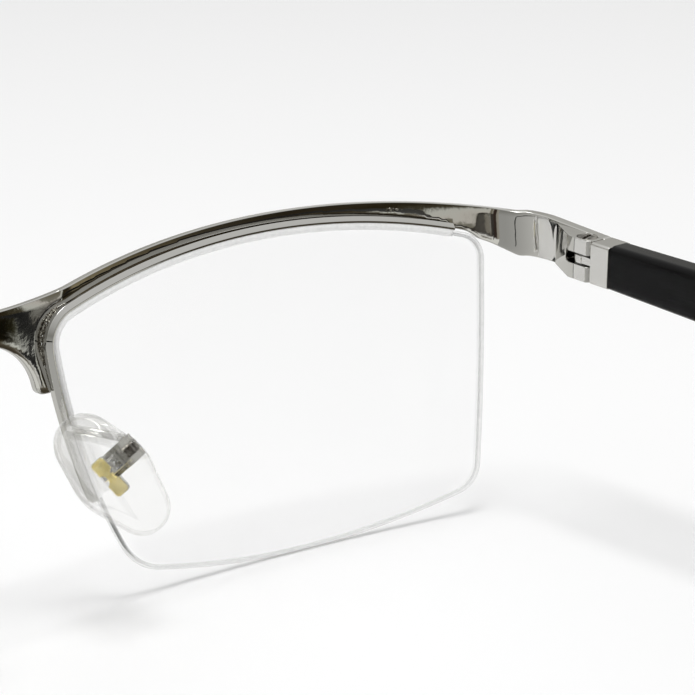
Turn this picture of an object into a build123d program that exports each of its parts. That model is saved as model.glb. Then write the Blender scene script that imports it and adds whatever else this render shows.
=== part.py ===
from build123d import *
import os
from math import cos, radians, sin, sqrt, tan

# Half rim eyeglasses: a metal brow bar carries each lens from above in a grooved rim wire,
# and a nylon cord in the lens groove holds it from below. Millimetres, +Z up, the front
# faces -Y, the temples run back along +Y and lie open. The pieces are modelled for the
# wearer's right side, where X is negative, and mirrored for the left.

# ---------------------------------------------------------------- driving dimensions
# Lens and rim line, in the plane of the lens: x toward the temple, y up
lens_width = 57.3
lens_height = 36.3
lens_thickness = 1.3
lens_front_radius = 130.0
bridge_half_width = 7.85
lens_wrap = 4.0
lens_tilt = 6.0
top_apex_x = -0.8
bottom_apex_x = 4.2
nose_slant = 9.0
nose_corner_out = 0.35
temple_slant = 2.6
top_fall_nose = 4.4
top_fall_temple = 5.0
bottom_rise_nose = 3.3
bottom_rise_temple = 2.85
nose_bulge = 1.3
temple_bulge = 0.85
nose_top_radius = 3.4
nose_bottom_radius = 7.0
temple_top_radius = 3.4
temple_bottom_radius = 4.0

# Rim wire, liner and cord, measured out from the rim line
rim_height = 0.75
rim_depth = 1.4
rim_end_inside = 3.95
rim_end_below = 24.25
liner_gap = 0.25
liner_cover = 0.75
liner_lip = 0.1
groove_depth = 0.35
groove_width = 0.6
channel_depth = 0.35
channel_width = 0.8
cord_size = 0.56
cord_tuck = 2.6
cut_margin = 1.0

# Brow bar, bridge and endpieces
bar_thickness = 1.2
bar_proud = 0.85
bar_rise = 1.7
bar_top_inward = 1.0
bar_top_radius = 128.0
bridge_drop = 2.25
bridge_blend_outward = 2.15
bridge_blend_rise = 1.0
bridge_front = 0.5
bridge_plan_outward = 2.65
bridge_plan_radius = 6.0
arch_inward = 1.85
arch_drop = 5.6
tooth_drop = 11.8
tooth_round = 0.9
tooth_outward = 2.15
pocket_front = 5.0
pocket_back = 15.0
corner_inward = 1.5
corner_end_inward = 1.9
corner_drop = 7.75
corner_plan_radius = 7.0
corner_cut_back = 8.9
plan_margin = 20.0
arm_envelope = 5.0
endpiece_start_inward = 12.4
endpiece_start_drop = 3.15
endpiece_middle_inward = 6.8
endpiece_middle_drop = 5.1
flare_plan_length = 4.6
flare_plan_radius = 6.0

# Hinge: its frame has x toward the nose, y back along the temple and z up the screw
endpiece_reach = 5.75
hinge_back = 17.604
hinge_drop = 4.95
temple_fall = 1.75
axis_inset = 2.1
hinge_thickness = 3.5
hinge_block_height = 4.8
block_rear = 1.75
block_swing_radius = 1.85
block_front = 5.8
block_ramp_end = 1.5
knuckle_slot = 1.3
knuckle_radius = 1.35
knuckle_height = 0.92
knuckle_relief = 0.1
knuckle_stem_width = 2.0
knuckle_stem_shift = 0.2
knuckle_stem_lap = 0.2
slot_front = 2.4
washer_thickness = 0.15
washer_radius = 1.25
screw_radius = 0.6
screw_fit = 0.01
knuckle_fit = 0.03
screw_head_radius = 1.15
screw_head_height = 0.6
screw_head_fit = 0.05
screw_slot_width = 0.35
screw_slot_depth = 0.3
screw_slot_turn = 20.0
screw_end_inset = 0.1

# Temple
cap_gap = 0.05
cap_length = 2.7
cap_edge = 0.35
mouth_height = 5.1
temple_height = 5.7
temple_swell = 18.0
swell_radius = 60.0
temple_bend = 98.0
ear_drop = 38.0
ear_bend_radius = 24.0
tip_height = 5.4
tip_thickness = 2.4
tip_flat = 0.1
temple_edge = 1.0
core_height = 2.0
core_thickness = 1.2
core_socket = 1.5
core_end_radius = 0.4
core_end = 9.0

# Nose pads, in their own frame: x across, y up the pad, z toward the nose
pad_outward = 1.15
pad_back = 9.504
pad_drop = 0.503
pad_face = (0.893, 0.44, -0.116)
pad_down = (-0.42, 0.56, -0.71)
pad_length = 14.8
pad_width = 9.7
pad_thickness = 2.2
pad_top_radius = 3.8
pad_bottom_radius = 3.4
pad_edge = 0.8
insert_length = 4.4
insert_width = 2.0
insert_thickness = 0.3
insert_bite = 0.6
insert_corner = 0.46
insert_depth = -0.5
lug_width = 2.2
lug_height = 1.6
box_wall = 0.7
box_gap = 0.1
box_height = 2.7
box_floor = 0.5
box_mouth = 0.5
pad_axis_depth = 2.7
pad_axis_up = 0.7
lug_reach = 0.8
box_depth = 1.1
pad_screw_radius = 0.45
pad_screw_head = 0.65
pad_screw_head_height = 0.6
pad_screw_slot = 0.25
arm_radius = 0.45
arm_root = 0.62
arm_turn = 1.6
arm_rim_gap = 0.01
arm_box_lap = 0.1

# ---------------------------------------------------------------- derived places
reach = 60.0
tilt = radians(lens_tilt)
wrap = radians(lens_wrap)
fall = radians(temple_fall)
drop = radians(ear_drop)
half_width = lens_width / 2
half_height = lens_height / 2
lens_centre_x = bridge_half_width + half_width
frame_half_width = lens_centre_x + half_width + endpiece_reach
rim_end_x = half_width - rim_end_inside
rim_end_y = half_height - rim_end_below
bar_top = half_height + bar_rise
bar_top_x = lens_centre_x - bar_top_inward
lens_middle = lens_thickness / 2

nose_top = (-half_width - nose_corner_out, half_height - top_fall_nose)
temple_top = (half_width, half_height - top_fall_temple)
temple_bottom = (half_width - temple_slant, -half_height + bottom_rise_temple)
nose_bottom = (nose_top[0] + nose_slant, -half_height + bottom_rise_nose)


def bulged_middle(start, end, bulge):
    """Point beside the middle of a chord, on its outer (right-hand) side."""
    length = sqrt((end[0] - start[0]) ** 2 + (end[1] - start[1]) ** 2)
    across = ((start[1] - end[1]) / length, (end[0] - start[0]) / length)
    middle = ((start[0] + end[0]) / 2, (start[1] + end[1]) / 2)
    return (middle[0] + across[0] * bulge, middle[1] + across[1] * bulge)


# The cord under the lens is the lowest line of the front, and it lies on z = 0
groove_floor = -liner_gap - groove_depth
cord_low = half_height + groove_floor + cord_size
cord_low_back = lens_middle - cord_size / 2 + (bottom_apex_x**2 + cord_low**2) / 2 / lens_front_radius
lens_centre_z = cord_low * cos(tilt) - (cord_low_back + bottom_apex_x * sin(wrap)) * sin(tilt)

# The hinge hangs from the top of the lens, and the ear part of the temple ends on z = 0
hinge_height = lens_centre_z + half_height - hinge_drop
bend_height = hinge_height - temple_bend * sin(fall)
tip_radius = (tip_height - tip_flat) / 2
tip_low = tip_radius + tip_flat / 2 * cos(drop + fall)
ear_length = (bend_height - tip_low) / sin(drop + fall) + tip_radius
temple_depth = (
    hinge_back
    + temple_bend * cos(fall)
    + (ear_length - tip_radius) * cos(drop + fall)
    + tip_flat / 2 * sin(drop + fall)
    + tip_radius
)

# The front of the bar follows the lens fronts in plan; its foremost line sets the middle in y
plan_centre_x = lens_front_radius * sin(wrap) - lens_centre_x
plan_centre_back = lens_front_radius * cos(wrap)
plan_radius = sqrt(lens_front_radius**2 - half_height**2) + bar_proud
bar_lead_up = bar_top - (bar_top_x + plan_centre_x) ** 2 / 2 / bar_top_radius
bar_lead = bar_lead_up * sin(tilt) - (plan_centre_back - plan_radius) * cos(tilt)
front_y = (bar_lead - temple_depth) / 2

front_origin = Vector(0, front_y, lens_centre_z)
up_dir = Vector(0, -sin(tilt), cos(tilt))
back_dir = Vector(0, cos(tilt), sin(tilt))
front_plane = Plane(origin=front_origin, x_dir=(1, 0, 0), z_dir=-back_dir)
plan_plane = Plane(origin=front_origin, x_dir=(1, 0, 0), z_dir=up_dir)

temple_side_dir = Vector(-cos(wrap), 0, 0) + back_dir * sin(wrap)
lens_back_dir = Vector(sin(wrap), 0, 0) + back_dir * cos(wrap)
lens_vertex = front_origin + Vector(-lens_centre_x, 0, 0)
lens_plane = Plane(origin=lens_vertex, x_dir=temple_side_dir, z_dir=lens_back_dir)
ball_centre = lens_vertex + lens_back_dir * lens_front_radius

hinge_point = Vector(axis_inset - frame_half_width, front_y + hinge_back, hinge_height)
hinge_axis = Vector(0, sin(fall), cos(fall))
temple_dir = Vector(0, cos(fall), -sin(fall))
hinge_plane = Plane(origin=hinge_point, x_dir=(1, 0, 0), z_dir=hinge_axis)
temple_plane = Plane(origin=hinge_point, x_dir=temple_dir, z_dir=(1, 0, 0))

inner_face = hinge_thickness - axis_inset
outer_face = -axis_inset
plate_face = outer_face + bar_thickness
half_block = hinge_block_height / 2
half_slot = knuckle_slot / 2
cap_front = block_swing_radius + cap_gap
cap_rear = cap_front + cap_length

pad_origin = Vector(-bridge_half_width - pad_outward, front_y + pad_back, lens_centre_z - pad_drop)
pad_plane = Plane(
    origin=pad_origin,
    x_dir=Vector(*pad_face).cross(Vector(*pad_down)),
    z_dir=pad_face,
)
box_outer = lug_width / 2 + box_gap + box_wall


# ---------------------------------------------------------------- shared shapes
def rim_outline(grow):
    """The rim line of a lens, four arcs with rounded corners, grown by an offset."""
    with BuildSketch() as shape:
        with BuildLine():
            ThreePointArc(nose_top, (top_apex_x, half_height), temple_top)
            ThreePointArc(temple_top, bulged_middle(temple_top, temple_bottom, temple_bulge), temple_bottom)
            ThreePointArc(temple_bottom, (bottom_apex_x, -half_height), nose_bottom)
            ThreePointArc(nose_bottom, bulged_middle(nose_bottom, nose_top, nose_bulge), nose_top)
        make_face()
        if grow:
            offset(amount=grow, kind=Kind.INTERSECTION)
        for corner, radius in (
            (nose_top, nose_top_radius),
            (temple_top, temple_top_radius),
            (temple_bottom, temple_bottom_radius),
            (nose_bottom, nose_bottom_radius),
        ):
            fillet(shape.vertices().sort_by_distance(corner)[0], radius + grow)
    return shape.sketch


def rim_region(tuck):
    """The part of the lens plane where the metal rim runs, shortened at both ends."""
    with BuildSketch() as region:
        with BuildLine():
            Polyline(
                (-reach, rim_end_y + tuck),
                (0, rim_end_y + tuck),
                (0, 0),
                (rim_end_x - tuck, 0),
                (rim_end_x - tuck, reach),
                (-reach, reach),
                close=True,
            )
        make_face()
    return region.sketch


def nose_side(share, grow):
    """Point beside the nose-side rim line, at a share of its height from the bottom."""
    x = nose_bottom[0] + (nose_top[0] - nose_bottom[0]) * share
    y = nose_bottom[1] + (nose_top[1] - nose_bottom[1]) * share
    chord = sqrt((nose_top[0] - nose_bottom[0]) ** 2 + (nose_top[1] - nose_bottom[1]) ** 2)
    out = nose_bulge * 4 * share * (1 - share) + grow
    return (
        x + (nose_bottom[1] - nose_top[1]) / chord * out,
        y + (nose_top[0] - nose_bottom[0]) / chord * out,
    )


def rim_place(share, grow, depth):
    """A point of the nose-side rim at a depth behind the lens front, and its inward normal."""
    x, y = nose_side(share, grow)
    behind = lens_front_radius - sqrt((lens_front_radius - depth) ** 2 - x**2 - y**2)
    place = lens_plane.from_local_coords((x, y, behind))
    return place, (ball_centre - place).normalized()


def lens_strip(inner, outer, front, back, region=None, keep=Mode.INTERSECT):
    """A strip that follows the lens edge between two offsets and two depths."""
    outer_shape = rim_outline(outer)
    inner_shape = rim_outline(inner) if inner is not None else None
    with BuildPart() as strip:
        with BuildSketch(lens_plane.offset(-reach / 4)):
            add(outer_shape)
            if inner_shape:
                add(inner_shape, mode=Mode.SUBTRACT)
            if region:
                add(region, mode=keep)
        extrude(amount=reach / 2)
        with Locations(ball_centre):
            Sphere(lens_front_radius - front, mode=Mode.INTERSECT)
            Sphere(lens_front_radius - back, mode=Mode.SUBTRACT)
    return strip.part


def write_pair(piece, name):
    """Labels and writes a right-hand piece, and its mirror image for the left side."""
    piece.label = f"right_{name}"
    export_step(piece, f"parts/right_{name}.step")
    with BuildPart() as twin:
        mirror(piece, about=Plane.YZ)
    twin.part.label = f"left_{name}"
    export_step(twin.part, f"parts/left_{name}.step")


os.makedirs("parts", exist_ok=True)

# ---------------------------------------------------------------- lens
lens_shell = lens_strip(None, -liner_gap, 0, lens_thickness)
lens_groove = lens_strip(
    groove_floor, cut_margin, lens_middle - groove_width / 2, lens_middle + groove_width / 2
)
with BuildPart() as lens:
    add(lens_shell)
    add(lens_groove, mode=Mode.SUBTRACT)
write_pair(lens.part, "lens")

# ---------------------------------------------------------------- rim wire and liner
wire_region = rim_region(0)
wire_stock = lens_strip(0, rim_height, 0, rim_depth, wire_region)
wire_channel = lens_strip(
    -cut_margin, channel_depth, lens_middle - channel_width / 2, lens_middle + channel_width / 2
)
with BuildPart() as rim_wire:
    add(wire_stock)
    add(wire_channel, mode=Mode.SUBTRACT)
write_pair(rim_wire.part, "rim_wire")

liner_region = rim_region(cord_tuck)
liner_sleeve = lens_strip(-liner_cover, 0, -liner_lip, lens_thickness + liner_lip, liner_region)
liner_bead = lens_strip(
    groove_floor, 0, lens_middle - cord_size / 2, lens_middle + cord_size / 2, liner_region
)
liner_tongue = lens_strip(
    -liner_gap, channel_depth, lens_middle - channel_width / 2, lens_middle + channel_width / 2, liner_region
)
with BuildPart() as rim_liner:
    add(liner_sleeve)
    add(lens_shell, mode=Mode.SUBTRACT)
    add(liner_bead)
    add(liner_tongue)
write_pair(rim_liner.part, "rim_liner")

# ---------------------------------------------------------------- nylon cord
cord_strip = lens_strip(
    groove_floor,
    groove_floor + cord_size,
    lens_middle - cord_size / 2,
    lens_middle + cord_size / 2,
    liner_region,
    Mode.SUBTRACT,
)
write_pair(cord_strip, "nylon_cord")

# ---------------------------------------------------------------- brow bar
def bar_back(x):
    """How far back the front face of the bar lies at a distance x from the middle."""
    return plan_centre_back - sqrt(plan_radius**2 - (-x - plan_centre_x) ** 2)


bridge_plan_x = bridge_half_width + bridge_plan_outward
corner_x = frame_half_width - corner_inward
plan_corner = (corner_x, bar_back(corner_x))
flare_end = (frame_half_width, plan_corner[1] + flare_plan_length)
plan_rear = hinge_back + plan_margin


def bar_plan(inset):
    """Plan of all that lies behind the front of the bar, shrunk by an inset."""
    with BuildSketch() as plan:
        with BuildLine():
            bridge_side = bar_back(bridge_plan_x)
            ThreePointArc((-bridge_plan_x, bridge_side), (0, bridge_front), (bridge_plan_x, bridge_side))
            for side in (-1, 1):
                ThreePointArc(
                    (side * bridge_plan_x, bar_back(bridge_plan_x)),
                    (side * lens_centre_x, bar_back(lens_centre_x)),
                    (side * plan_corner[0], plan_corner[1]),
                )
                Polyline(
                    (side * plan_corner[0], plan_corner[1]),
                    (side * flare_end[0], flare_end[1]),
                    (side * flare_end[0], plan_rear),
                )
            Line((-flare_end[0], plan_rear), (flare_end[0], plan_rear))
        make_face()
        if inset:
            offset(amount=-inset, kind=Kind.INTERSECTION)
        for side in (-1, 1):
            for place, radius in (
                ((side * bridge_plan_x, bar_back(bridge_plan_x)), bridge_plan_radius + inset),
                ((side * plan_corner[0], plan_corner[1]), corner_plan_radius - inset),
                ((side * flare_end[0], flare_end[1]), flare_plan_radius - inset),
            ):
                fillet(plan.vertices().sort_by_distance(place)[0], radius)
    return plan.sketch


plan_outside = bar_plan(0)
plan_inside = bar_plan(bar_thickness)

bridge_top = half_height - bridge_drop
bridge_blend = (bridge_half_width + bridge_blend_outward, bridge_top + bridge_blend_rise)
arch_half_width = bridge_half_width - arch_inward
arch_top = half_height - arch_drop
tooth_end = half_height - tooth_drop
tooth_outside_x = bridge_half_width + tooth_outward
top_end_x = frame_half_width - corner_end_inward
top_corner = (top_end_x, bar_top - (top_end_x - bar_top_x) ** 2 / 2 / bar_top_radius)
corner_bottom = half_height - corner_drop
endpiece_start = (frame_half_width - endpiece_start_inward, half_height - endpiece_start_drop)
endpiece_middle = (frame_half_width - endpiece_middle_inward, half_height - endpiece_middle_drop)
with BuildSketch() as bar_front:
    with BuildLine():
        ThreePointArc((-bridge_blend[0], bridge_blend[1]), (0, bridge_top), bridge_blend)
        ThreePointArc((-arch_half_width, tooth_end), (0, arch_top), (arch_half_width, tooth_end))
        for side in (-1, 1):
            ThreePointArc(
                (side * bridge_blend[0], bridge_blend[1]),
                (side * bar_top_x, bar_top),
                (side * top_corner[0], top_corner[1]),
            )
            Polyline(
                (side * top_corner[0], top_corner[1]),
                (side * reach * 2, top_corner[1]),
                (side * reach * 2, corner_bottom),
                (side * top_corner[0], corner_bottom),
            )
            ThreePointArc(
                (side * top_corner[0], corner_bottom),
                (side * endpiece_middle[0], endpiece_middle[1]),
                (side * endpiece_start[0], endpiece_start[1]),
            )
            Polyline(
                (side * endpiece_start[0], endpiece_start[1]),
                (side * lens_centre_x, 0),
                (side * tooth_outside_x, tooth_end),
                (side * arch_half_width, tooth_end),
            )
    make_face()
    for side in (-1, 1):
        fillet(bar_front.vertices().sort_by_distance((side * arch_half_width, tooth_end))[0], tooth_round)


def front_corner(up, back):
    """World y and z of a point of the front, from its height and depth there."""
    place = front_origin + up_dir * up + back_dir * back
    return (place.Y, place.Z)


rear_top = hinge_point + temple_dir * block_rear + hinge_axis * half_block
rear_bottom = hinge_point + temple_dir * block_rear - hinge_axis * half_block
with BuildSketch() as arm_side:
    with BuildLine():
        Polyline(
            front_corner(top_corner[1], corner_cut_back),
            (rear_top.Y, rear_top.Z),
            (rear_bottom.Y, rear_bottom.Z),
            front_corner(corner_bottom, corner_cut_back),
            close=True,
        )
    make_face()

with BuildPart() as bar_envelope:
    with BuildSketch(front_plane.offset(-corner_cut_back)):
        add(bar_front.sketch)
    extrude(amount=reach)
    for side in (-1, 1):
        with BuildSketch(Plane.YZ.offset(side * frame_half_width)):
            add(arm_side.sketch)
        extrude(amount=arm_envelope, both=True)

pocket_upper = lens_strip(None, rim_height, -pocket_front, pocket_back, wire_region)
pocket_lower = lens_strip(None, liner_gap, -pocket_front, pocket_back)
with BuildPart() as front_bar:
    with BuildSketch(plan_plane.offset(-reach / 2)):
        add(plan_outside)
        add(plan_inside, mode=Mode.SUBTRACT)
    extrude(amount=reach)
    add(bar_envelope.part, mode=Mode.INTERSECT)
    for pocket in (pocket_upper, pocket_lower):
        add(pocket, mode=Mode.SUBTRACT)
        mirror(pocket, about=Plane.YZ, mode=Mode.SUBTRACT)
    for side in (-1, 1):
        pivot = Plane(
            origin=(-side * hinge_point.X, hinge_point.Y, hinge_point.Z), x_dir=(1, 0, 0), z_dir=hinge_axis
        )
        with Locations(pivot.location):
            Cylinder(knuckle_radius + knuckle_relief, knuckle_slot, mode=Mode.SUBTRACT)
        with Locations(pivot.offset(half_block).location):
            Cylinder(screw_head_radius + screw_head_fit, 2 * screw_head_height, mode=Mode.SUBTRACT)
front_bar.part.label = "front_bar"
export_step(front_bar.part, "parts/front_bar.step")

# ---------------------------------------------------------------- hinge block
with BuildPart() as hinge_block:
    with BuildSketch(hinge_plane.offset(-half_block)):
        Circle(block_swing_radius)
        with Locations(((plate_face + inner_face) / 2, block_rear / 2)):
            Rectangle(inner_face - plate_face, block_rear, mode=Mode.INTERSECT)
        with BuildLine():
            Polyline(
                (plate_face, 0),
                (plate_face, -block_front),
                (inner_face, -block_ramp_end),
                (inner_face, 0),
                close=True,
            )
        make_face()
    extrude(amount=hinge_block_height)
    with BuildSketch(hinge_plane.offset(-half_slot)):
        with Locations(((plate_face + reach) / 2, (reach - slot_front) / 2)):
            Rectangle(reach - plate_face, reach + slot_front)
    extrude(amount=knuckle_slot, mode=Mode.SUBTRACT)
    with Locations(hinge_plane.location):
        Cylinder(screw_radius + screw_fit, 2 * hinge_block_height, mode=Mode.SUBTRACT)
    with Locations(hinge_plane.offset(half_block).location):
        Cylinder(screw_head_radius + screw_head_fit, 2 * screw_head_height, mode=Mode.SUBTRACT)
write_pair(hinge_block.part, "hinge_block")

# ---------------------------------------------------------------- hinge screw and washers
with BuildPart() as hinge_screw:
    with BuildSketch(hinge_plane.offset(half_block - screw_head_height)):
        Circle(screw_head_radius)
    extrude(amount=screw_head_height)
    with BuildSketch(hinge_plane.offset(-half_block + screw_end_inset)):
        Circle(screw_radius)
    extrude(amount=hinge_block_height - screw_head_height - screw_end_inset)
    with BuildSketch(hinge_plane.offset(half_block - screw_slot_depth)):
        Rectangle(3 * screw_head_radius, screw_slot_width, rotation=screw_slot_turn)
    extrude(amount=screw_slot_depth, mode=Mode.SUBTRACT)
write_pair(hinge_screw.part, "hinge_screw")

with BuildPart() as hinge_washers:
    for low in (-half_slot, half_slot - washer_thickness):
        with BuildSketch(hinge_plane.offset(low)):
            Circle(washer_radius)
            Circle(screw_radius + knuckle_fit, mode=Mode.SUBTRACT)
        extrude(amount=washer_thickness)
write_pair(hinge_washers.part, "hinge_washers")


# ---------------------------------------------------------------- temple
def temple_side(start, start_height, height, end_height, trim, end_radius):
    """Side view of the temple: a straight part that may swell, the ear bend and a rounded end."""
    along = (cos(drop), -sin(drop))
    across = (sin(drop), cos(drop))
    miter = height / 2 * tan(drop / 2)
    length = ear_length - trim
    end = (temple_bend + along[0] * length, along[1] * length)
    half_end = end_height / 2
    outer_bend = ear_bend_radius + height / 2
    inner_bend = ear_bend_radius - height / 2
    swells = start_height < height
    upper_swell = [(temple_swell, height / 2)] if swells else []
    lower_swell = [(temple_swell, -height / 2)] if swells else []
    swell_bends = [swell_radius] if swells else []
    with BuildSketch() as side:
        with BuildLine():
            FilletPolyline(
                (start, start_height / 2),
                *upper_swell,
                (temple_bend + miter, height / 2),
                (end[0] + across[0] * half_end, end[1] + across[1] * half_end),
                (end[0] - across[0] * half_end, end[1] - across[1] * half_end),
                (temple_bend - miter, -height / 2),
                *lower_swell,
                (start, -start_height / 2),
                radius=[0, *swell_bends, outer_bend, end_radius, end_radius, inner_bend, *swell_bends, 0],
                close=True,
            )
        make_face()
    return side.sketch


core_side = temple_side(cap_rear - core_socket, core_height, core_height, core_height, core_end, core_end_radius)
with BuildPart() as temple_core:
    with BuildSketch(temple_plane.offset((outer_face + inner_face) / 2 - core_thickness / 2)):
        add(core_side)
    extrude(amount=core_thickness)
write_pair(temple_core.part, "temple_core")

with BuildPart() as temple_cap:
    with BuildSketch(hinge_plane.offset(-half_block)):
        with Locations(((outer_face + inner_face) / 2, (cap_front + cap_rear) / 2)):
            Rectangle(hinge_thickness, cap_length)
    extrude(amount=hinge_block_height)
    long_edges = temple_cap.edges().filter_by(Axis(hinge_point, temple_dir))
    fillet(long_edges, cap_edge)
    with BuildSketch(hinge_plane.offset(-knuckle_height / 2)):
        Circle(knuckle_radius)
        with Locations((knuckle_stem_shift, (cap_front + knuckle_stem_lap) / 2)):
            Rectangle(knuckle_stem_width, cap_front + knuckle_stem_lap)
    extrude(amount=knuckle_height)
    with Locations(hinge_plane.location):
        Cylinder(screw_radius + knuckle_fit, hinge_block_height, mode=Mode.SUBTRACT)
    add(temple_core.part, mode=Mode.SUBTRACT)
write_pair(temple_cap.part, "temple_cap")

sleeve_side = temple_side(cap_rear, mouth_height, temple_height, tip_height, 0, tip_radius)
sleeve_end = temple_bend + ear_length
with BuildPart() as temple:
    with BuildSketch(temple_plane.offset(outer_face)):
        add(sleeve_side)
    extrude(amount=hinge_thickness)
    with BuildSketch(hinge_plane.offset(-reach)):
        with BuildLine():
            Polyline(
                (outer_face, cap_rear),
                (outer_face, temple_bend),
                (outer_face + (hinge_thickness - tip_thickness) / 2, sleeve_end),
                (inner_face - (hinge_thickness - tip_thickness) / 2, sleeve_end),
                (inner_face, temple_bend),
                (inner_face, cap_rear),
                close=True,
            )
        make_face()
    extrude(amount=2 * reach, mode=Mode.INTERSECT)
    mouth = temple.faces().sort_by_distance(hinge_point)[0]
    fillet(temple.edges() - mouth.edges(), temple_edge)
    add(temple_core.part, mode=Mode.SUBTRACT)
write_pair(temple.part, "temple")

# ---------------------------------------------------------------- nose pad
pad_half = pad_thickness / 2
insert_floor = -insert_depth - insert_thickness
box_plane = Plane(
    origin=pad_plane.from_local_coords((0, pad_axis_up, 0)), x_dir=pad_plane.x_dir, z_dir=pad_plane.z_dir
)
pad_axis_plane = box_plane.offset(-pad_axis_depth)
pin_plane = Plane(origin=pad_axis_plane.origin, x_dir=pad_plane.y_dir, z_dir=pad_plane.x_dir)

with BuildPart() as pad_insert:
    with BuildSketch(pad_plane.offset(insert_floor)):
        RectangleRounded(insert_width, insert_length, insert_corner)
        with Locations((-insert_width / 2, 0), (insert_width / 2, 0)):
            Circle(insert_bite, mode=Mode.SUBTRACT)
    extrude(amount=insert_thickness)
    with BuildSketch(pad_axis_plane.offset(-lug_reach)):
        Rectangle(lug_width, lug_height)
    extrude(amount=pad_axis_depth + lug_reach + insert_floor)
    with Locations(pin_plane.location):
        Cylinder(pad_screw_radius + knuckle_fit, 2 * pad_width, mode=Mode.SUBTRACT)
write_pair(pad_insert.part, "pad_insert")

with BuildPart() as nose_pad:
    with BuildSketch(pad_plane.offset(-pad_half)):
        with Locations((0, pad_length / 2 - pad_top_radius)):
            Circle(pad_top_radius)
        Circle(pad_width / 2)
        with Locations((0, pad_bottom_radius - pad_length / 2)):
            Circle(pad_bottom_radius)
        make_hull()
    extrude(amount=pad_thickness)
    fillet(nose_pad.edges(), pad_edge)
    add(pad_insert.part, mode=Mode.SUBTRACT)
write_pair(nose_pad.part, "nose_pad")

# ---------------------------------------------------------------- pad arm with its box
box_back = -pad_axis_depth - box_depth - box_floor
arm_start, arm_inward = rim_place(arm_root, rim_height / 2, rim_depth + arm_rim_gap)
arm_end = box_plane.from_local_coords((0, 0, box_back + arm_box_lap))
arm_behind = box_plane.from_local_coords((0, 0, box_back - arm_turn))
with BuildPart() as pad_arm:
    with BuildSketch(box_plane.offset(box_back)):
        Rectangle(2 * box_outer, box_height)
    extrude(amount=-box_back - pad_half - box_mouth)
    with BuildSketch(box_plane.offset(box_back + box_floor)):
        Rectangle(lug_width + 2 * box_gap, 2 * box_height)
    extrude(amount=pad_width, mode=Mode.SUBTRACT)
    with Locations(pin_plane.location):
        Cylinder(pad_screw_radius + screw_fit, 2 * pad_width, mode=Mode.SUBTRACT)
    with BuildLine() as arm_path:
        Spline(arm_start, arm_behind, arm_end, tangents=(arm_inward, box_plane.z_dir))
    with BuildSketch(Plane(origin=arm_start, z_dir=arm_inward)):
        Circle(arm_radius)
    sweep(path=arm_path.line)
write_pair(pad_arm.part, "pad_arm")

# ---------------------------------------------------------------- pad screw
with BuildPart() as pad_screw:
    with BuildSketch(pin_plane.offset(-box_outer)):
        Circle(pad_screw_radius)
    extrude(amount=2 * box_outer)
    with BuildSketch(pin_plane.offset(box_outer)):
        Circle(pad_screw_head)
    extrude(amount=pad_screw_head_height)
    with BuildSketch(pin_plane.offset(box_outer + pad_screw_head_height / 2)):
        Rectangle(3 * pad_screw_head, pad_screw_slot)
    extrude(amount=pad_screw_head_height, mode=Mode.SUBTRACT)
write_pair(pad_screw.part, "pad_screw")

print("hinge point", hinge_point, "axis", hinge_axis)
print("pad pivot", pad_axis_plane.origin, "axis", pad_plane.x_dir)
print("front_y", front_y, "lens", lens_vertex, "arm", arm_start, arm_behind, arm_end)
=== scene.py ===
"""Half rim eyeglasses, dressed: brow bar, lenses on nylon cords, silicone pads and acetate temples."""

import logging
import math
from collections.abc import Sequence
from dataclasses import dataclass, field
from enum import Enum

import bmesh
import bpy
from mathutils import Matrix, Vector, geometry, kdtree


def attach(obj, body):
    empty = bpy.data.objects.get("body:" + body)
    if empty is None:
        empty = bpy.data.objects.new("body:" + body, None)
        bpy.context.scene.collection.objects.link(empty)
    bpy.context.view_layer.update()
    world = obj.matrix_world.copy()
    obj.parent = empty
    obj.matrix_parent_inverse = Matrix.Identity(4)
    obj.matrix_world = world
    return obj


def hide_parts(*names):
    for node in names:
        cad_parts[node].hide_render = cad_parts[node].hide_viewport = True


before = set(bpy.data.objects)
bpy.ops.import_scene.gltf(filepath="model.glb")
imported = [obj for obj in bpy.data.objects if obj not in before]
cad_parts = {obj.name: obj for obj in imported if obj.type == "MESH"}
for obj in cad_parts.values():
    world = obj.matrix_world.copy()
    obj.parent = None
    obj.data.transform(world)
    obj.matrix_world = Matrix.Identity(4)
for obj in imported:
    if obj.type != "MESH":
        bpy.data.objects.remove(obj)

LOG = logging.getLogger("eyeglasses")
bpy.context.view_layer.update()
MM = 0.001
MERGE_MM = 0.002
FLAT_DEG = 0.5
SHARP_DEG = 32
NORMAL_WEIGHT = 80
Point = tuple[float, float]
Triple = tuple[float, float, float]
Colour = tuple[float, float, float, float]
Stops = Sequence[tuple[float, str]]


class Side(Enum):
    """Wearer's side: the right one lies at negative X."""

    RIGHT = "right"
    LEFT = "left"

    @property
    def sign(self) -> int:
        """Sign of X on this side."""
        return -1 if self is Side.RIGHT else 1


class Body(Enum):
    """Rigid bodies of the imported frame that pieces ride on."""

    FRONT = "front"
    TEMPLE = "temple_side"
    PAD = "pad"

    def on(self, side: Side) -> str:
        """Name of this body on one side."""
        return self.value if self is Body.FRONT else f"{side.value}_{self.value}"


# ---------------------------------------------------------------- paths in a plane
@dataclass(frozen=True)
class Arc:
    """A circular arc through three points of a plane, in millimetres."""

    start: Point
    middle: Point
    end: Point

    def circle(self) -> tuple[float, float, float]:
        """Centre and radius of the arc's circle.

        Returns:
            Centre x, centre y and radius.
        """
        (ax, ay), (bx, by), (cx, cy) = self.start, self.middle, self.end
        d = 2 * (ax * (by - cy) + bx * (cy - ay) + cx * (ay - by))
        a2, b2, c2 = ax * ax + ay * ay, bx * bx + by * by, cx * cx + cy * cy
        ux = (a2 * (by - cy) + b2 * (cy - ay) + c2 * (ay - by)) / d
        uy = (a2 * (cx - bx) + b2 * (ax - cx) + c2 * (bx - ax)) / d
        return ux, uy, math.hypot(ax - ux, ay - uy)


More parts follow.
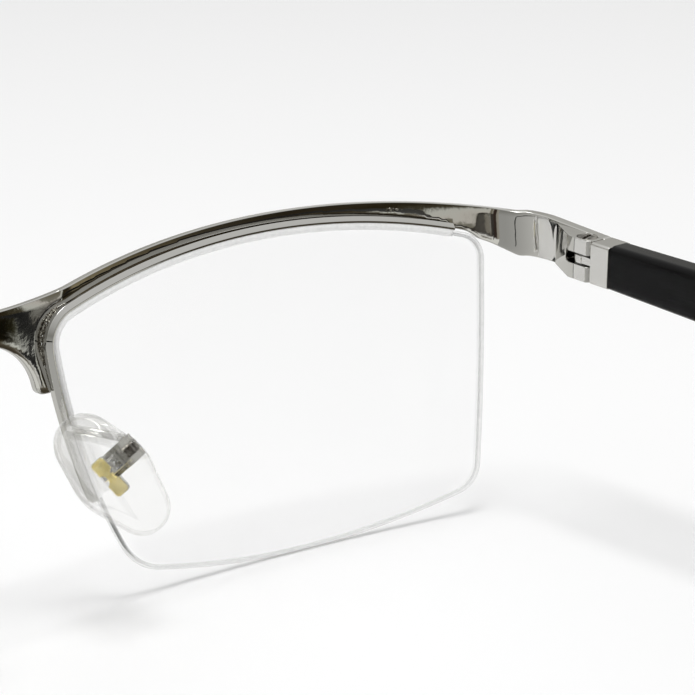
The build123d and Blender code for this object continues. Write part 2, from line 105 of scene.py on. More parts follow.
def straight(start: Point, end: Point) -> Arc:
    """A line as an arc so flat that its bulge can't be seen.

    Args:
        start: First point.
        end: Last point.

    Returns:
        The nearly straight arc.
    """
    dx, dy = end[0] - start[0], end[1] - start[1]
    return Arc(start, ((start[0] + end[0]) / 2 - dy * 1e-6, (start[1] + end[1]) / 2 + dx * 1e-6), end)


def swept(circle: Triple, first: Point, last: Point, spacing: float) -> list[Point]:
    """Points along the short way round a circle, the last one left out.

    Args:
        circle: Centre x, centre y and radius.
        first: Point where the sweep starts.
        last: Point where it ends.
        spacing: Largest distance between points.

    Returns:
        The points.
    """
    x, y, radius = circle
    start = math.atan2(first[1] - y, first[0] - x)
    turn = math.atan2(last[1] - y, last[0] - x) - start
    turn = (turn + math.pi) % (2 * math.pi) - math.pi
    steps = max(2, math.ceil(abs(turn) * radius / spacing))
    angles = [start + turn * i / steps for i in range(steps)]
    return [(x + radius * math.cos(angle), y + radius * math.sin(angle)) for angle in angles]


def agreement(corner: Point, one: Point, two: Point) -> float:
    """How far the ways from a corner to two points agree.

    Args:
        corner: The corner.
        one: First point.
        two: Second point.

    Returns:
        Dot product of both ways.
    """
    return (one[0] - corner[0]) * (two[0] - corner[0]) + (one[1] - corner[1]) * (two[1] - corner[1])


@dataclass(frozen=True)
class RoundedPath:
    """Arcs end to end, with a rounding at each joint; a closed path rounds its last joint too."""

    arcs: tuple[Arc, ...]
    radii: tuple[float, ...]
    closed: bool = False

    def _rounding(self, one: Arc, two: Arc, radius: float) -> tuple[Point, Point, Point]:
        """Centre and both ends of the rounding between two arcs.

        Args:
            one: Arc that arrives at the corner.
            two: Arc that leaves it.
            radius: Radius of the rounding.

        Returns:
            Centre, point on the first arc and point on the second arc.
        """
        corner = one.end
        (ax, ay, ar), (bx, by, br) = one.circle(), two.circle()
        gap = math.hypot(bx - ax, by - ay)
        best = None
        for ra in (ar - radius, ar + radius):
            for rb in (br - radius, br + radius):
                along = (ra * ra - rb * rb + gap * gap) / (2 * gap)
                if ra * ra < along * along:
                    continue
                aside = math.sqrt(ra * ra - along * along)
                for sign in (-1, 1):
                    cx = ax + (bx - ax) * along / gap - sign * (by - ay) * aside / gap
                    cy = ay + (by - ay) * along / gap + sign * (bx - ax) * aside / gap
                    touch_a = (ax + (cx - ax) / ra * ar, ay + (cy - ay) / ra * ar)
                    touch_b = (bx + (cx - bx) / rb * br, by + (cy - by) / rb * br)
                    back, ahead = agreement(corner, touch_a, one.start), agreement(corner, touch_b, two.end)
                    reach = math.hypot(cx - corner[0], cy - corner[1])
                    if back > 0 and ahead > 0 and (best is None or reach < best[0]):
                        best = (reach, (cx, cy), touch_a, touch_b)
        return best[1], best[2], best[3]

    def points(self, spacing: float) -> list[Point]:
        """Points along the whole path.

        Args:
            spacing: Largest distance between points.

        Returns:
            The points; the first isn't repeated at the end of a closed path.
        """
        count = len(self.arcs)
        joints = range(count) if self.closed else range(count - 1)
        rounding = {
            j: self._rounding(self.arcs[j], self.arcs[(j + 1) % count], self.radii[j])
            for j in joints
            if self.radii[j] > 0
        }
        found: list[Point] = []
        for i, arc in enumerate(self.arcs):
            before = rounding.get((i - 1) % count if self.closed else i - 1)
            after = rounding.get(i)
            first = before[2] if before else arc.start
            last = after[1] if after else arc.end
            found += swept(arc.circle(), first, last, spacing)
            if after:
                centre, first, last = after
                found += swept((*centre, self.radii[i]), first, last, min(spacing, self.radii[i] / 6))
        if not self.closed:
            found.append(self.arcs[-1].end)
        return found


def outward(points: list[Point], closed: bool) -> list[Point]:
    """Unit normals on the right-hand side of a path's direction.

    Args:
        points: The path.
        closed: Whether its ends join.

    Returns:
        One normal for each point.
    """
    count = len(points)
    normals = []
    for i in range(count):
        a = points[i - 1] if closed or i else points[i]
        b = points[(i + 1) % count] if closed or i < count - 1 else points[i]
        dx, dy = b[0] - a[0], b[1] - a[1]
        length = math.hypot(dx, dy)
        normals.append((dy / length, -dx / length))
    return normals


def grown(points: list[Point], normals: list[Point], by: float) -> list[Point]:
    """A path moved along its normals.

    Args:
        points: The path.
        normals: Its unit normals.
        by: How far it moves.

    Returns:
        The moved path.
    """
    return [(x + nx * by, y + ny * by) for (x, y), (nx, ny) in zip(points, normals)]


def lengths_of(points: list[Point]) -> list[float]:
    """Length of a path up to each of its points.

    Args:
        points: The path.

    Returns:
        Lengths, the first one 0.
    """
    lengths = [0.0]
    for a, b in zip(points, points[1:]):
        lengths.append(lengths[-1] + math.hypot(b[0] - a[0], b[1] - a[1]))
    return lengths


def crossing(path: list[Point], a: Point, b: Point) -> tuple[int, Point]:
    """First place where a path crosses a straight line.

    Args:
        path: The path.
        a: One end of the line.
        b: Its other end.

    Returns:
        Index of the path's point before the crossing, and the crossing.
    """
    for i in range(len(path) - 1):
        hit = geometry.intersect_line_line_2d(Vector(path[i]), Vector(path[i + 1]), Vector(a), Vector(b))
        if hit:
            return i, (hit.x, hit.y)
    raise ValueError("the path doesn't cross the line")


# ---------------------------------------------------------------- meshes
def new_object(name: str, data: bpy.types.ID) -> bpy.types.Object:
    """Links a mesh, lamp or camera to the scene as an object at the origin.

    Args:
        name: Name of the object.
        data: Its data; a mesh is in metres, in the frame of the CAD.

    Returns:
        The object.
    """
    made = bpy.data.objects.new(name, data)
    bpy.context.scene.collection.objects.link(made)
    return made


def smoothed(mesh: bpy.types.Mesh) -> bpy.types.Mesh:
    """Shades every face of a mesh smooth.

    Args:
        mesh: The mesh.

    Returns:
        The same mesh.
    """
    mesh.polygons.foreach_set("use_smooth", [True] * len(mesh.polygons))
    return mesh


def ring_faces(rings: int, count: int) -> list[tuple[int, ...]]:
    """Faces between closed rings of vertices that follow each other.

    Args:
        rings: Number of rings.
        count: Vertices in each.

    Returns:
        Faces by vertex index.
    """
    corners = [(r * count + i, r * count + (i + 1) % count) for r in range(rings - 1) for i in range(count)]
    return [(a, a + count, b + count, b) for a, b in corners]


def mesh_of(name: str, points: list[Vector], faces: list[tuple[int, ...]]) -> bpy.types.Mesh:
    """A smooth mesh from points in millimetres, checked.

    Args:
        name: Name of the mesh.
        points: Vertices in millimetres.
        faces: Faces by vertex index, turned outwards.

    Returns:
        The mesh, in metres.
    """
    mesh = bpy.data.meshes.new(name)
    mesh.from_pydata([tuple(Vector(p) * MM) for p in points], [], faces)
    mesh.validate()
    return smoothed(mesh)


def mirrored(source: bpy.types.Object, name: str) -> bpy.types.Object:
    """A copy of a right-hand piece for the left side, with its faces turned back outwards.

    Args:
        source: The right-hand piece.
        name: Name of the copy.

    Returns:
        The left-hand piece.
    """
    mesh = source.data.copy()
    mesh.name = name
    form = bmesh.new()
    form.from_mesh(mesh)
    for vertex in form.verts:
        vertex.co.x = -vertex.co.x
    bmesh.ops.reverse_faces(form, faces=form.faces)
    form.to_mesh(mesh)
    form.free()
    return new_object(name, mesh)


def applied(piece: bpy.types.Object) -> bpy.types.Object:
    """Turns a piece's modifiers into plain mesh.

    Args:
        piece: A piece with modifiers.

    Returns:
        The same piece without modifiers.
    """
    bpy.context.view_layer.update()
    mesh = bpy.data.meshes.new_from_object(piece.evaluated_get(bpy.context.evaluated_depsgraph_get()))
    mesh.name = piece.name
    piece.modifiers.clear()
    piece.data = mesh
    return piece


def turned_out(piece: bpy.types.Object) -> bpy.types.Object:
    """Turns every face of a closed piece outwards.

    Args:
        piece: The piece.

    Returns:
        The same piece.
    """
    form = bmesh.new()
    form.from_mesh(piece.data)
    bmesh.ops.recalc_face_normals(form, faces=form.faces)
    form.to_mesh(piece.data)
    form.free()
    return piece


def weighted(piece: bpy.types.Object) -> bpy.types.Object:
    """Gives a piece area-weighted normals, so that its flats stay flat beside their rounded edges.

    Args:
        piece: The piece.

    Returns:
        The same piece.
    """
    normals = piece.modifiers.new("normals", "WEIGHTED_NORMAL")
    normals.mode = "FACE_AREA_WITH_ANGLE"
    normals.weight = NORMAL_WEIGHT
    return applied(piece)


def softened(
    side: Side, stem: str, name: str, edge_mm: float, finish: bpy.types.Material, body: Body
) -> bpy.types.Object:
    """A CAD node's copy with its sharp edges broken, as deburring leaves them.

    Args:
        side: Side of the node.
        stem: Name of the node after its side.
        name: Name of the piece before its side.
        edge_mm: Width of the broken edge.
        finish: Material of the piece.
        body: Body that it rides on.

    Returns:
        The piece, which stands for the node.
    """
    node = f"{side.value}_{stem}"
    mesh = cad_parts[node].data.copy()
    form = bmesh.new()
    form.from_mesh(mesh)
    bmesh.ops.remove_doubles(form, verts=form.verts, dist=MERGE_MM * MM)
    flat = math.radians(FLAT_DEG)
    bmesh.ops.dissolve_limit(form, angle_limit=flat, verts=form.verts, edges=form.edges)
    form.to_mesh(mesh)
    form.free()
    mesh.materials.clear()
    mesh.normals_split_custom_set_from_vertices([(0, 0, 0)] * len(mesh.vertices))
    piece = new_object(f"{name}_{side.value}", mesh)
    bevel = piece.modifiers.new("broken edges", "BEVEL")
    bevel.width = edge_mm * MM
    bevel.segments = 3
    bevel.limit_method = "ANGLE"
    bevel.angle_limit = math.radians(SHARP_DEG)
    bevel.use_clamp_overlap = True
    bevel.harden_normals = False
    applied(piece)
    smoothed(piece.data)
    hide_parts(node)
    weighted(piece)
    piece.data.materials.append(finish)
    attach(piece, body.on(side))
    return piece


# ---------------------------------------------------------------- finishes
def linear(colour: str) -> Colour:
    """Linear colour from an sRGB hex value.

    Args:
        colour: Six hex digits.

    Returns:
        Linear red, green, blue and alpha.
    """
    parts = [int(colour[i : i + 2], 16) / 255 for i in (0, 2, 4)]
    return (*(c / 12.92 if c <= 0.04045 else ((c + 0.055) / 1.055) ** 2.4 for c in parts), 1.0)


def feed(node: bpy.types.Node, inputs: dict | tuple) -> None:
    """Sets and links the inputs of a node.

    Args:
        node: The node.
        inputs: Value, node or socket for each input, by name or index, or in the order of the inputs.
    """
    for key, given in inputs.items() if isinstance(inputs, dict) else enumerate(inputs):
        source = given.outputs[0] if isinstance(given, bpy.types.Node) else given
        if isinstance(source, bpy.types.NodeSocket):
            node.id_data.links.new(source, node.inputs[key])
        else:
            node.inputs[key].default_value = source


def add_node(
    tree: bpy.types.NodeTree, kind: str, inputs: dict | tuple = (), stops: Stops = (), **settings: object
) -> bpy.types.Node:
    """Adds one node with its settings and links.

    Args:
        tree: Tree that gets the node.
        kind: Type name of the node.
        inputs: What feeds its inputs, as in feed.
        stops: Positions and hex colours of a colour ramp.
        settings: Properties to set.

    Returns:
        The node.
    """
    made = tree.nodes.new(kind)
    for name, value in settings.items():
        setattr(made, name, value)
    if stops:
        elements = made.color_ramp.elements
        while len(elements) < len(stops):
            elements.new(0.5)
        for element, (position, colour) in zip(elements, stops):
            element.position = position
            element.color = linear(colour)
    feed(made, inputs)
    return made


@dataclass
class Layers:
    """Nodes that a finish adds its own detail to."""

    tree: bpy.types.NodeTree
    shader: bpy.types.Node
    place: bpy.types.NodeSocket
    grain: bpy.types.Node
    bump: bpy.types.Node


@dataclass(frozen=True)
class Finish:
    """One surface finish of the eyeglasses, with the fine grain that raises it.

    The grain can also shift the roughness, by rough_shares between its values rough_between, and the
    colour, which is its own at one value of the grain and the other shade at another.
    """

    name: str
    colour: str
    roughness: float
    metallic: float = 0.0
    grain_mm: float = 0.25
    grain_detail: float = 3.0
    grain_stretch: Triple = (1.0, 1.0, 1.0)
    bump: float = 0.2
    bump_mm: float = 0.01
    rough_between: Point = (0.0, 1.0)
    rough_shares: Point = (1.0, 1.0)
    own_shade_at: float = 0.5
    other_shade: tuple[float, str] | None = None

    def build(self) -> bpy.types.Material:
        """Builds the material.

        Returns:
            The material, with the detail of its own finish.
        """
        material = bpy.data.materials.new(self.name)
        material.use_nodes = True
        tree = material.node_tree
        shader = tree.nodes["Principled BSDF"]
        place = add_node(tree, "ShaderNodeTexCoord").outputs["Object"]
        drawn = add_node(tree, "ShaderNodeMapping", {"Scale": self.grain_stretch, 0: place})
        size = {"Scale": 1 / (self.grain_mm * MM), "Detail": self.grain_detail, 0: drawn}
        grain = add_node(tree, "ShaderNodeTexNoise", size)
        relief = {"Strength": self.bump, "Distance": self.bump_mm * MM, "Height": grain}
        bump = add_node(tree, "ShaderNodeBump", relief)
        feed(shader, {"Base Color": linear(self.colour), "Metallic": self.metallic, "Normal": bump})
        feed(shader, {"Roughness": self.roughness})
        if self.rough_shares != (1.0, 1.0):
            least, most = (self.roughness * share for share in self.rough_shares)
            rough = add_node(tree, "ShaderNodeMapRange", (grain, *self.rough_between, least, most))
            feed(shader, {"Roughness": rough})
        if self.other_shade:
            stops = sorted([self.other_shade, (self.own_shade_at, self.colour)])
            feed(shader, {"Base Color": add_node(tree, "ShaderNodeValToRGB", (grain,), stops)})
        self.detail(Layers(tree, shader, place, grain, bump))
        return material

    def detail(self, made: Layers) -> None:
        """Adds what this finish has beside its grain; a plain one has nothing."""

    @staticmethod
    def shadowed(made: Layers, seen: bpy.types.Node, shade: bpy.types.Node) -> None:
        """Ends a material that lets light through.

        Args:
            made: Nodes of the material.
            seen: What every other ray meets.
            shade: What shadow rays meet.
        """
        in_shadow = add_node(made.tree, "ShaderNodeLightPath").outputs["Is Shadow Ray"]
        lit = add_node(made.tree, "ShaderNodeMixShader", (in_shadow, seen, shade))
        feed(made.tree.nodes["Material Output"], {"Surface": lit})


@dataclass(frozen=True)
class PolishedNickelSilver(Finish):
    """Buffed nickel silver with rhodium plate: crisp, a little hazy, with brown tarnish in its folds."""

    metallic: float = 1.0
    # Buffing leaves finer waves than these; they are drawn as coarse as they need to show.
    grain_mm: float = 0.35
    grain_detail: float = 2.0
    bump: float = 0.05
    bump_mm: float = 0.03
    swell_mm: float = 1.6
    swell_share: float = 4.5
    haze_mm: float = 3.0
    haze_between: Point = (0.35, 0.7)
    haze: float = 1.7
    tarnish: str = "5A4A38"
    tarnish_mm: float = 0.8
    tarnish_share: float = 0.595
    fold_mm: float = 0.7
    fold_between: Point = (0.62, 0.3)

    def detail(self, made: Layers) -> None:
        """Adds the haze, the slow swell of hand buffing and the tarnish in the hollows.

        Args:
            made: Nodes of the material so far.
        """
        tree = made.tree
        haze, spots, swell = (
            add_node(tree, "ShaderNodeTexNoise", {"Scale": 1 / (size * MM), "Detail": depth, 0: made.place})
            for size, depth in ((self.haze_mm, 4.0), (self.tarnish_mm, 5.0), (self.swell_mm, 1.0))
        )
        dullest = self.roughness * self.haze
        rough = add_node(tree, "ShaderNodeMapRange", (haze, *self.haze_between, self.roughness, dullest))
        width = {"Distance": self.fold_mm * MM}
        fold = add_node(tree, "ShaderNodeAmbientOcclusion", width, samples=6, only_local=True).outputs["AO"]
        depth = add_node(tree, "ShaderNodeMapRange", (fold, *self.fold_between, 0.0, 1.0))
        brown = add_node(tree, "ShaderNodeMath", (depth, spots), operation="MULTIPLY")
        terms = (brown, self.tarnish_share)
        share = add_node(tree, "ShaderNodeMath", terms, operation="MULTIPLY", use_clamp=True)
        blend = {"Factor": share, "A": linear(self.colour), "B": linear(self.tarnish)}
        mix = add_node(tree, "ShaderNodeMix", blend, data_type="RGBA")
        terms = (swell, self.swell_share, made.grain)
        waves = add_node(tree, "ShaderNodeMath", terms, operation="MULTIPLY_ADD")
        feed(made.bump, {"Height": waves})
        feed(made.shader, {"Roughness": rough, "Base Color": mix.outputs["Result"]})


@dataclass(frozen=True)
class TurnedSteel(Finish):
    """Turned stainless screw steel, dulled by handling: fine turning marks and dark dirt."""

    metallic: float = 1.0
    # Turning marks lie about 0.05 mm apart; they are drawn coarser, so that the screw looks dull.
    grain_mm: float = 0.12
    dirt: tuple[float, str] = (0.38, "3A332C")
    dirt_mm: float = 0.6
    clean_at: float = 0.62

    def detail(self, made: Layers) -> None:
        """Adds the dirt.

        Args:
            made: Nodes of the material so far.
        """
        size = {"Scale": 1 / (self.dirt_mm * MM), "Detail": 3.0, 0: made.place}
        spots = add_node(made.tree, "ShaderNodeTexNoise", size)
        stops = (self.dirt, (self.clean_at, self.colour))
        feed(made.shader, {"Base Color": add_node(made.tree, "ShaderNodeValToRGB", (spots,), stops)})


@dataclass(frozen=True)
class SilverSolder(Finish):
    """Silver solder as it set: pitted and dark in the pits, bright on its crests."""

    metallic: float = 1.0
    grain_mm: float = 0.18
    grain_detail: float = 4.0
    bump: float = 0.6
    bump_mm: float = 0.04
    own_shade_at: float = 0.6
    other_shade: tuple[float, str] | None = (0.4, "4A443A")


@dataclass(frozen=True)
class StampedGold(Finish):
    """Thin stamped sheet with a yellow gold flash: satin with a soft orange-peel from stamping."""

    metallic: float = 0.1
    bump: float = 0.3
    bump_mm: float = 0.02
    own_shade_at: float = 0.7
    other_shade: tuple[float, str] | None = (0.3, "FFE896")


@dataclass(frozen=True)
class ClearResin(Finish):
    """Cast and polished lens resin: both faces clear with a faint reflection, the ground rim frosted.

    Colour, roughness and grain are those of the ground edge.
    """

    ball: Vector = field(default_factory=Vector)
    # The grit of the edging wheel is finer; it is drawn this coarse, so that the edge looks frosted.
    grain_mm: float = 0.2
    ior: float = 1.5
    passes: Colour = (0.985, 0.985, 0.985, 1.0)
    gloss: Colour = (1.0, 1.0, 1.0, 1.0)
    gloss_roughness: float = 0.015
    least_facing: float = 0.95
    coating: Point = (0.2, 0.35)
    coating_between: Point = (0.5, 0.8)
    coating_mm: float = 9.0
    total_reflection: float = 0.97
    edge_specular: float = 0.1
    edge_cover: float = 0.18
    edge_shadow: str = "DCDCDC"

    def detail(self, made: Layers) -> None:
        """Adds the clear faces and tells them from the ground edge by how they face the ball centre.

        Args:
            made: Nodes of the material so far.
        """
        tree = made.tree
        ball = tuple(self.ball * MM)
        ray = add_node(tree, "ShaderNodeVectorMath", (made.place, ball), operation="SUBTRACT")
        unit = add_node(tree, "ShaderNodeVectorMath", (ray,), operation="NORMALIZE")
        normal = add_node(tree, "ShaderNodeNewGeometry").outputs["True Normal"]
        facing = add_node(tree, "ShaderNodeVectorMath", (unit, normal), operation="DOT_PRODUCT")
        size = add_node(tree, "ShaderNodeMath", (facing.outputs["Value"],), operation="ABSOLUTE")
        is_face = add_node(tree, "ShaderNodeMath", (size, self.least_facing), operation="GREATER_THAN")
        clarity = {"Color": self.passes, "Roughness": 0.0, "IOR": self.ior}
        bent = add_node(tree, "ShaderNodeBsdfRefraction", clarity)
        sheen = {"Color": self.gloss, "Roughness": self.gloss_roughness}
        gloss = add_node(tree, "ShaderNodeBsdfGlossy", sheen)
        fresnel = add_node(tree, "ShaderNodeFresnel", {"IOR": self.ior})
        patches = {"Scale": 1 / (self.coating_mm * MM), "Detail": 5.0, 0: made.place}
        smears = add_node(tree, "ShaderNodeTexNoise", patches)
        film = add_node(tree, "ShaderNodeMapRange", (smears, *self.coating_between, *self.coating))
        part = add_node(tree, "ShaderNodeMath", (fresnel, film), operation="MULTIPLY")
        total = add_node(tree, "ShaderNodeMath", (fresnel, self.total_reflection), operation="GREATER_THAN")
        mirror = add_node(tree, "ShaderNodeMath", (part, total), operation="MAXIMUM")
        face = add_node(tree, "ShaderNodeMixShader", (mirror, bent, gloss))
        feed(made.shader, {"Specular IOR Level": self.edge_specular, "Alpha": self.edge_cover})
        both = add_node(tree, "ShaderNodeMixShader", (is_face, made.shader, face))
        clear = add_node(tree, "ShaderNodeBsdfTransparent", (self.passes,))
        veil = add_node(tree, "ShaderNodeBsdfTransparent", (linear(self.edge_shadow),))
        self.shadowed(made, both, add_node(tree, "ShaderNodeMixShader", (is_face, veil, clear)))


@dataclass(frozen=True)
class ClearSilicone(Finish):
    """Clear moulded silicone: light passes and bends, with faint streaks inside."""

    grain_mm: float = 2.0
    grain_detail: float = 4.0
    bump: float = 0.1
    bump_mm: float = 0.05
    rough_between: Point = (0.3, 0.75)
    rough_shares: Point = (0.5, 1.8)
    ior: float = 1.3
    passes: Colour = (0.98, 0.98, 0.975, 1.0)
    see_through: float = 0.68

    def detail(self, made: Layers) -> None:
        """Lets light through to the floor behind the silicone.

        Args:
            made: Nodes of the material so far.
        """
        feed(made.shader, {"Transmission Weight": 1.0, "IOR": self.ior})
        clear = add_node(made.tree, "ShaderNodeBsdfTransparent", (self.passes,))
        haze = add_node(made.tree, "ShaderNodeMixShader", (self.see_through, made.shader, clear))
        self.shadowed(made, haze, clear)


@dataclass(frozen=True)
class MilkyNylon(Finish):
    """Clear nylon: light passes nearly straight through its middle, its outline looks grey."""

    grain_mm: float = 0.5
    bump: float = 0.1
    bump_mm: float = 0.02
    ior: float = 1.5
    specular: float = 0.15
    milk_between: Point = (0.35, 0.65)
    cover: float = 0.1
    cover_varies: float = 0.3
    outline: float = 0.45
    outline_power: float = 2.5
    shadow: str = "A0A0A0"

    def detail(self, made: Layers) -> None:
        """Makes the nylon clear in the middle and denser where the eye grazes it.

        Args:
            made: Nodes of the material so far.
        """
        tree = made.tree
        least, most = self.cover * (1 - self.cover_varies), self.cover * (1 + self.cover_varies)
        milk = add_node(tree, "ShaderNodeMapRange", (made.grain, *self.milk_between, least, most))
        glance = add_node(tree, "ShaderNodeLayerWeight", {"Blend": 0.5}).outputs["Facing"]
        steep = add_node(tree, "ShaderNodeMath", (glance, self.outline_power), operation="POWER")
        terms = (steep, self.outline, milk)
        cover = add_node(tree, "ShaderNodeMath", terms, operation="MULTIPLY_ADD", use_clamp=True)
        feed(made.shader, {"Alpha": cover, "IOR": self.ior, "Specular IOR Level": self.specular})
        veil = add_node(tree, "ShaderNodeBsdfTransparent", (linear(self.shadow),))
        self.shadowed(made, made.shader, veil)


@dataclass(frozen=True)
class BlackAcetate(Finish):
    """Tumble-polished black acetate: deep and glossy, with faint hairlines along the temple from wiping."""

    # Hairlines are a few hundredths of a millimetre wide; they are drawn coarser, so that they show.
    grain_mm: float = 0.15
    grain_stretch: Triple = (1.0, 0.06, 1.0)
    bump: float = 0.06
    rough_between: Point = (0.4, 0.75)
    rough_shares: Point = (1.0, 2.5)
    own_shade_at: float = 0.3
    other_shade: tuple[float, str] | None = (0.9, "0F0F10")
    ior: float = 1.48
    specular: float = 0.12

    def detail(self, made: Layers) -> None:
        """Sets how strongly the acetate mirrors.

        Args:
            made: Nodes of the material so far.
        """
        feed(made.shader, {"IOR": self.ior, "Specular IOR Level": self.specular})


# ---------------------------------------------------------------- geometry shared by the pieces
@dataclass(frozen=True)
class FrontPlane:
    """The tilted plane of the front: X, height up it and depth behind it, in millimetres."""

    origin: Vector = field(default_factory=lambda: Vector((0, -73.3718, 17.8025)))
    tilt_deg: float = 6.0

    @property
    def up(self) -> Vector:
        """Direction up the front."""
        tilt = math.radians(self.tilt_deg)
        return Vector((0, -math.sin(tilt), math.cos(tilt)))

    @property
    def back(self) -> Vector:
        """Direction from the front to the wearer."""
        tilt = math.radians(self.tilt_deg)
        return Vector((0, math.cos(tilt), math.sin(tilt)))

    def place(self, x: float, up: float, back: float) -> Vector:
        """World place of a point of the front.

        Args:
            x: World X.
            up: Height up the front.
            back: Depth behind it.

        Returns:
            The place in millimetres.
        """
        return self.origin + Vector((x, 0, 0)) + self.up * up + self.back * back

    def split(self, point: Vector) -> tuple[float, float, float]:
        """World X, height and depth of a point.

        Args:
            point: World place in millimetres.

        Returns:
            X, height up the front and depth behind it.
        """
        away = point - self.origin
        return away.x, away.dot(self.up), away.dot(self.back)


@dataclass(frozen=True)
class LensShape:
    """The right lens: its outline, its ball-shaped front face and how it is turned."""

    front: FrontPlane = FrontPlane()
    centre_x: float = 36.5
    wrap_deg: float = 4.0
    ball_radius: float = 130.0
    nose_top: Point = (-29.0, 13.75)
    temple_top: Point = (28.65, 13.15)
    temple_bottom: Point = (26.05, -15.3)
    nose_bottom: Point = (-20.0, -14.85)
    top_middle: Point = (-0.8, 18.15)
    bottom_middle: Point = (4.2, -18.15)
    nose_bulge: float = 1.3
    temple_bulge: float = 0.85
    corner_radii: tuple[float, float, float, float] = (3.4, 7.0, 4.0, 3.4)
    rim_end: Point = (24.7, -6.1)

    @property
    def across(self) -> Vector:
        """Direction from the nose to the temple."""
        wrap = math.radians(self.wrap_deg)
        return Vector((-math.cos(wrap), 0, 0)) + self.front.back * math.sin(wrap)

    @property
    def inward(self) -> Vector:
        """Direction through the lens to the eye."""
        wrap = math.radians(self.wrap_deg)
        return Vector((math.sin(wrap), 0, 0)) + self.front.back * math.cos(wrap)

    @property
    def vertex(self) -> Vector:
        """Middle of the front face."""
        return self.front.origin + Vector((-self.centre_x, 0, 0))

    @property
    def ball(self) -> Vector:
        """Centre of the ball that both faces share."""
        return self.vertex + self.inward * self.ball_radius

    def outline(self, grow: float, spacing: float = 0.5) -> list[Point]:
        """Lens outline, grown, from the top temple corner over the nose side and back.

        Args:
            grow: How far outside the lens pocket it lies.
            spacing: Largest distance between points.

        Returns:
            Points about the middle of the lens, nose at negative x.
        """
        top = Arc(self.temple_top, self.top_middle, self.nose_top)
        nose = self._bulged(self.nose_top, self.nose_bottom, self.nose_bulge)
        bottom = Arc(self.nose_bottom, self.bottom_middle, self.temple_bottom)
        temple = self._bulged(self.temple_bottom, self.temple_top, self.temple_bulge)
        base = RoundedPath((top, nose, bottom, temple), self.corner_radii, closed=True).points(spacing)
        return grown(base, outward(base, True), grow)

    @staticmethod
    def _bulged(start: Point, end: Point, bulge: float) -> Arc:
        """Arc between two corners whose middle stands out to the right of the way there.

        Args:
            start: First corner.
            end: Last corner.
            bulge: How far the middle stands out.

        Returns:
            The arc.
        """
        dx, dy = end[0] - start[0], end[1] - start[1]
        length = math.hypot(dx, dy)
        middle_x, middle_y = (start[0] + end[0]) / 2, (start[1] + end[1]) / 2
        return Arc(start, (middle_x + dy / length * bulge, middle_y - dx / length * bulge), end)

    def place(self, x: float, y: float, depth: float) -> Vector:
        """World place of a point at a depth below the front face.

        Args:
            x: Distance to the temple side.
            y: Height.
            depth: Depth below the ball-shaped face.

        Returns:
            The place in millimetres.
        """
        sag = self.ball_radius - math.sqrt((self.ball_radius - depth) ** 2 - x * x - y * y)
        return self.vertex + self.across * x + self.front.up * y + self.inward * sag

    def rim_part(self, path: list[Point], inside: float = 0.0) -> list[Point]:
        """The part of an outline that the metal rim holds.

        Args:
            path: A closed outline that starts at the top temple corner.
            inside: How much shorter than the rim the part is at either end.

        Returns:
            Points from the temple end, over the nose side, to the low end.
        """
        end_x, end_y = self.rim_end[0] - inside, self.rim_end[1] + inside
        first = next(i for i, p in enumerate(path) if p[0] < end_x and p[1] > 0)
        a, b = path[first - 1], path[first]
        share = (a[0] - end_x) / (a[0] - b[0])
        start = (end_x, a[1] + (b[1] - a[1]) * share)
        last = next(i for i, p in enumerate(path) if p[0] < 0 and p[1] < end_y)
        c, d = path[last - 1], path[last]
        share = (c[1] - end_y) / (c[1] - d[1])
        return [start, *path[first:last], (c[0] + (d[0] - c[0]) * share, end_y)]


# ---------------------------------------------------------------- what runs along the lens edge
@dataclass(frozen=True)
class RoundedBar:
    """Cross-section with rounded corners: x outward from the path, depth below the lens face."""

    inner: float
    outer: float
    front: float
    rear: float
    corner: float

    def points(self, steps: int) -> list[Point]:
        """Corner points in counter-clockwise order.

        Args:
            steps: Segments of each rounded corner.

        Returns:
            Points with y pointing out of the lens face.
        """
        r = self.corner
        corners = (
            (self.outer - r, -self.front - r, 0),
            (self.inner + r, -self.front - r, 1),
            (self.inner + r, -self.rear + r, 2),
            (self.outer - r, -self.rear + r, 3),
        )
        turns = [(x, y, math.pi / 2 * (q + i / steps)) for x, y, q in corners for i in range(steps + 1)]
        return [(x + r * math.cos(turn), y + r * math.sin(turn)) for x, y, turn in turns]


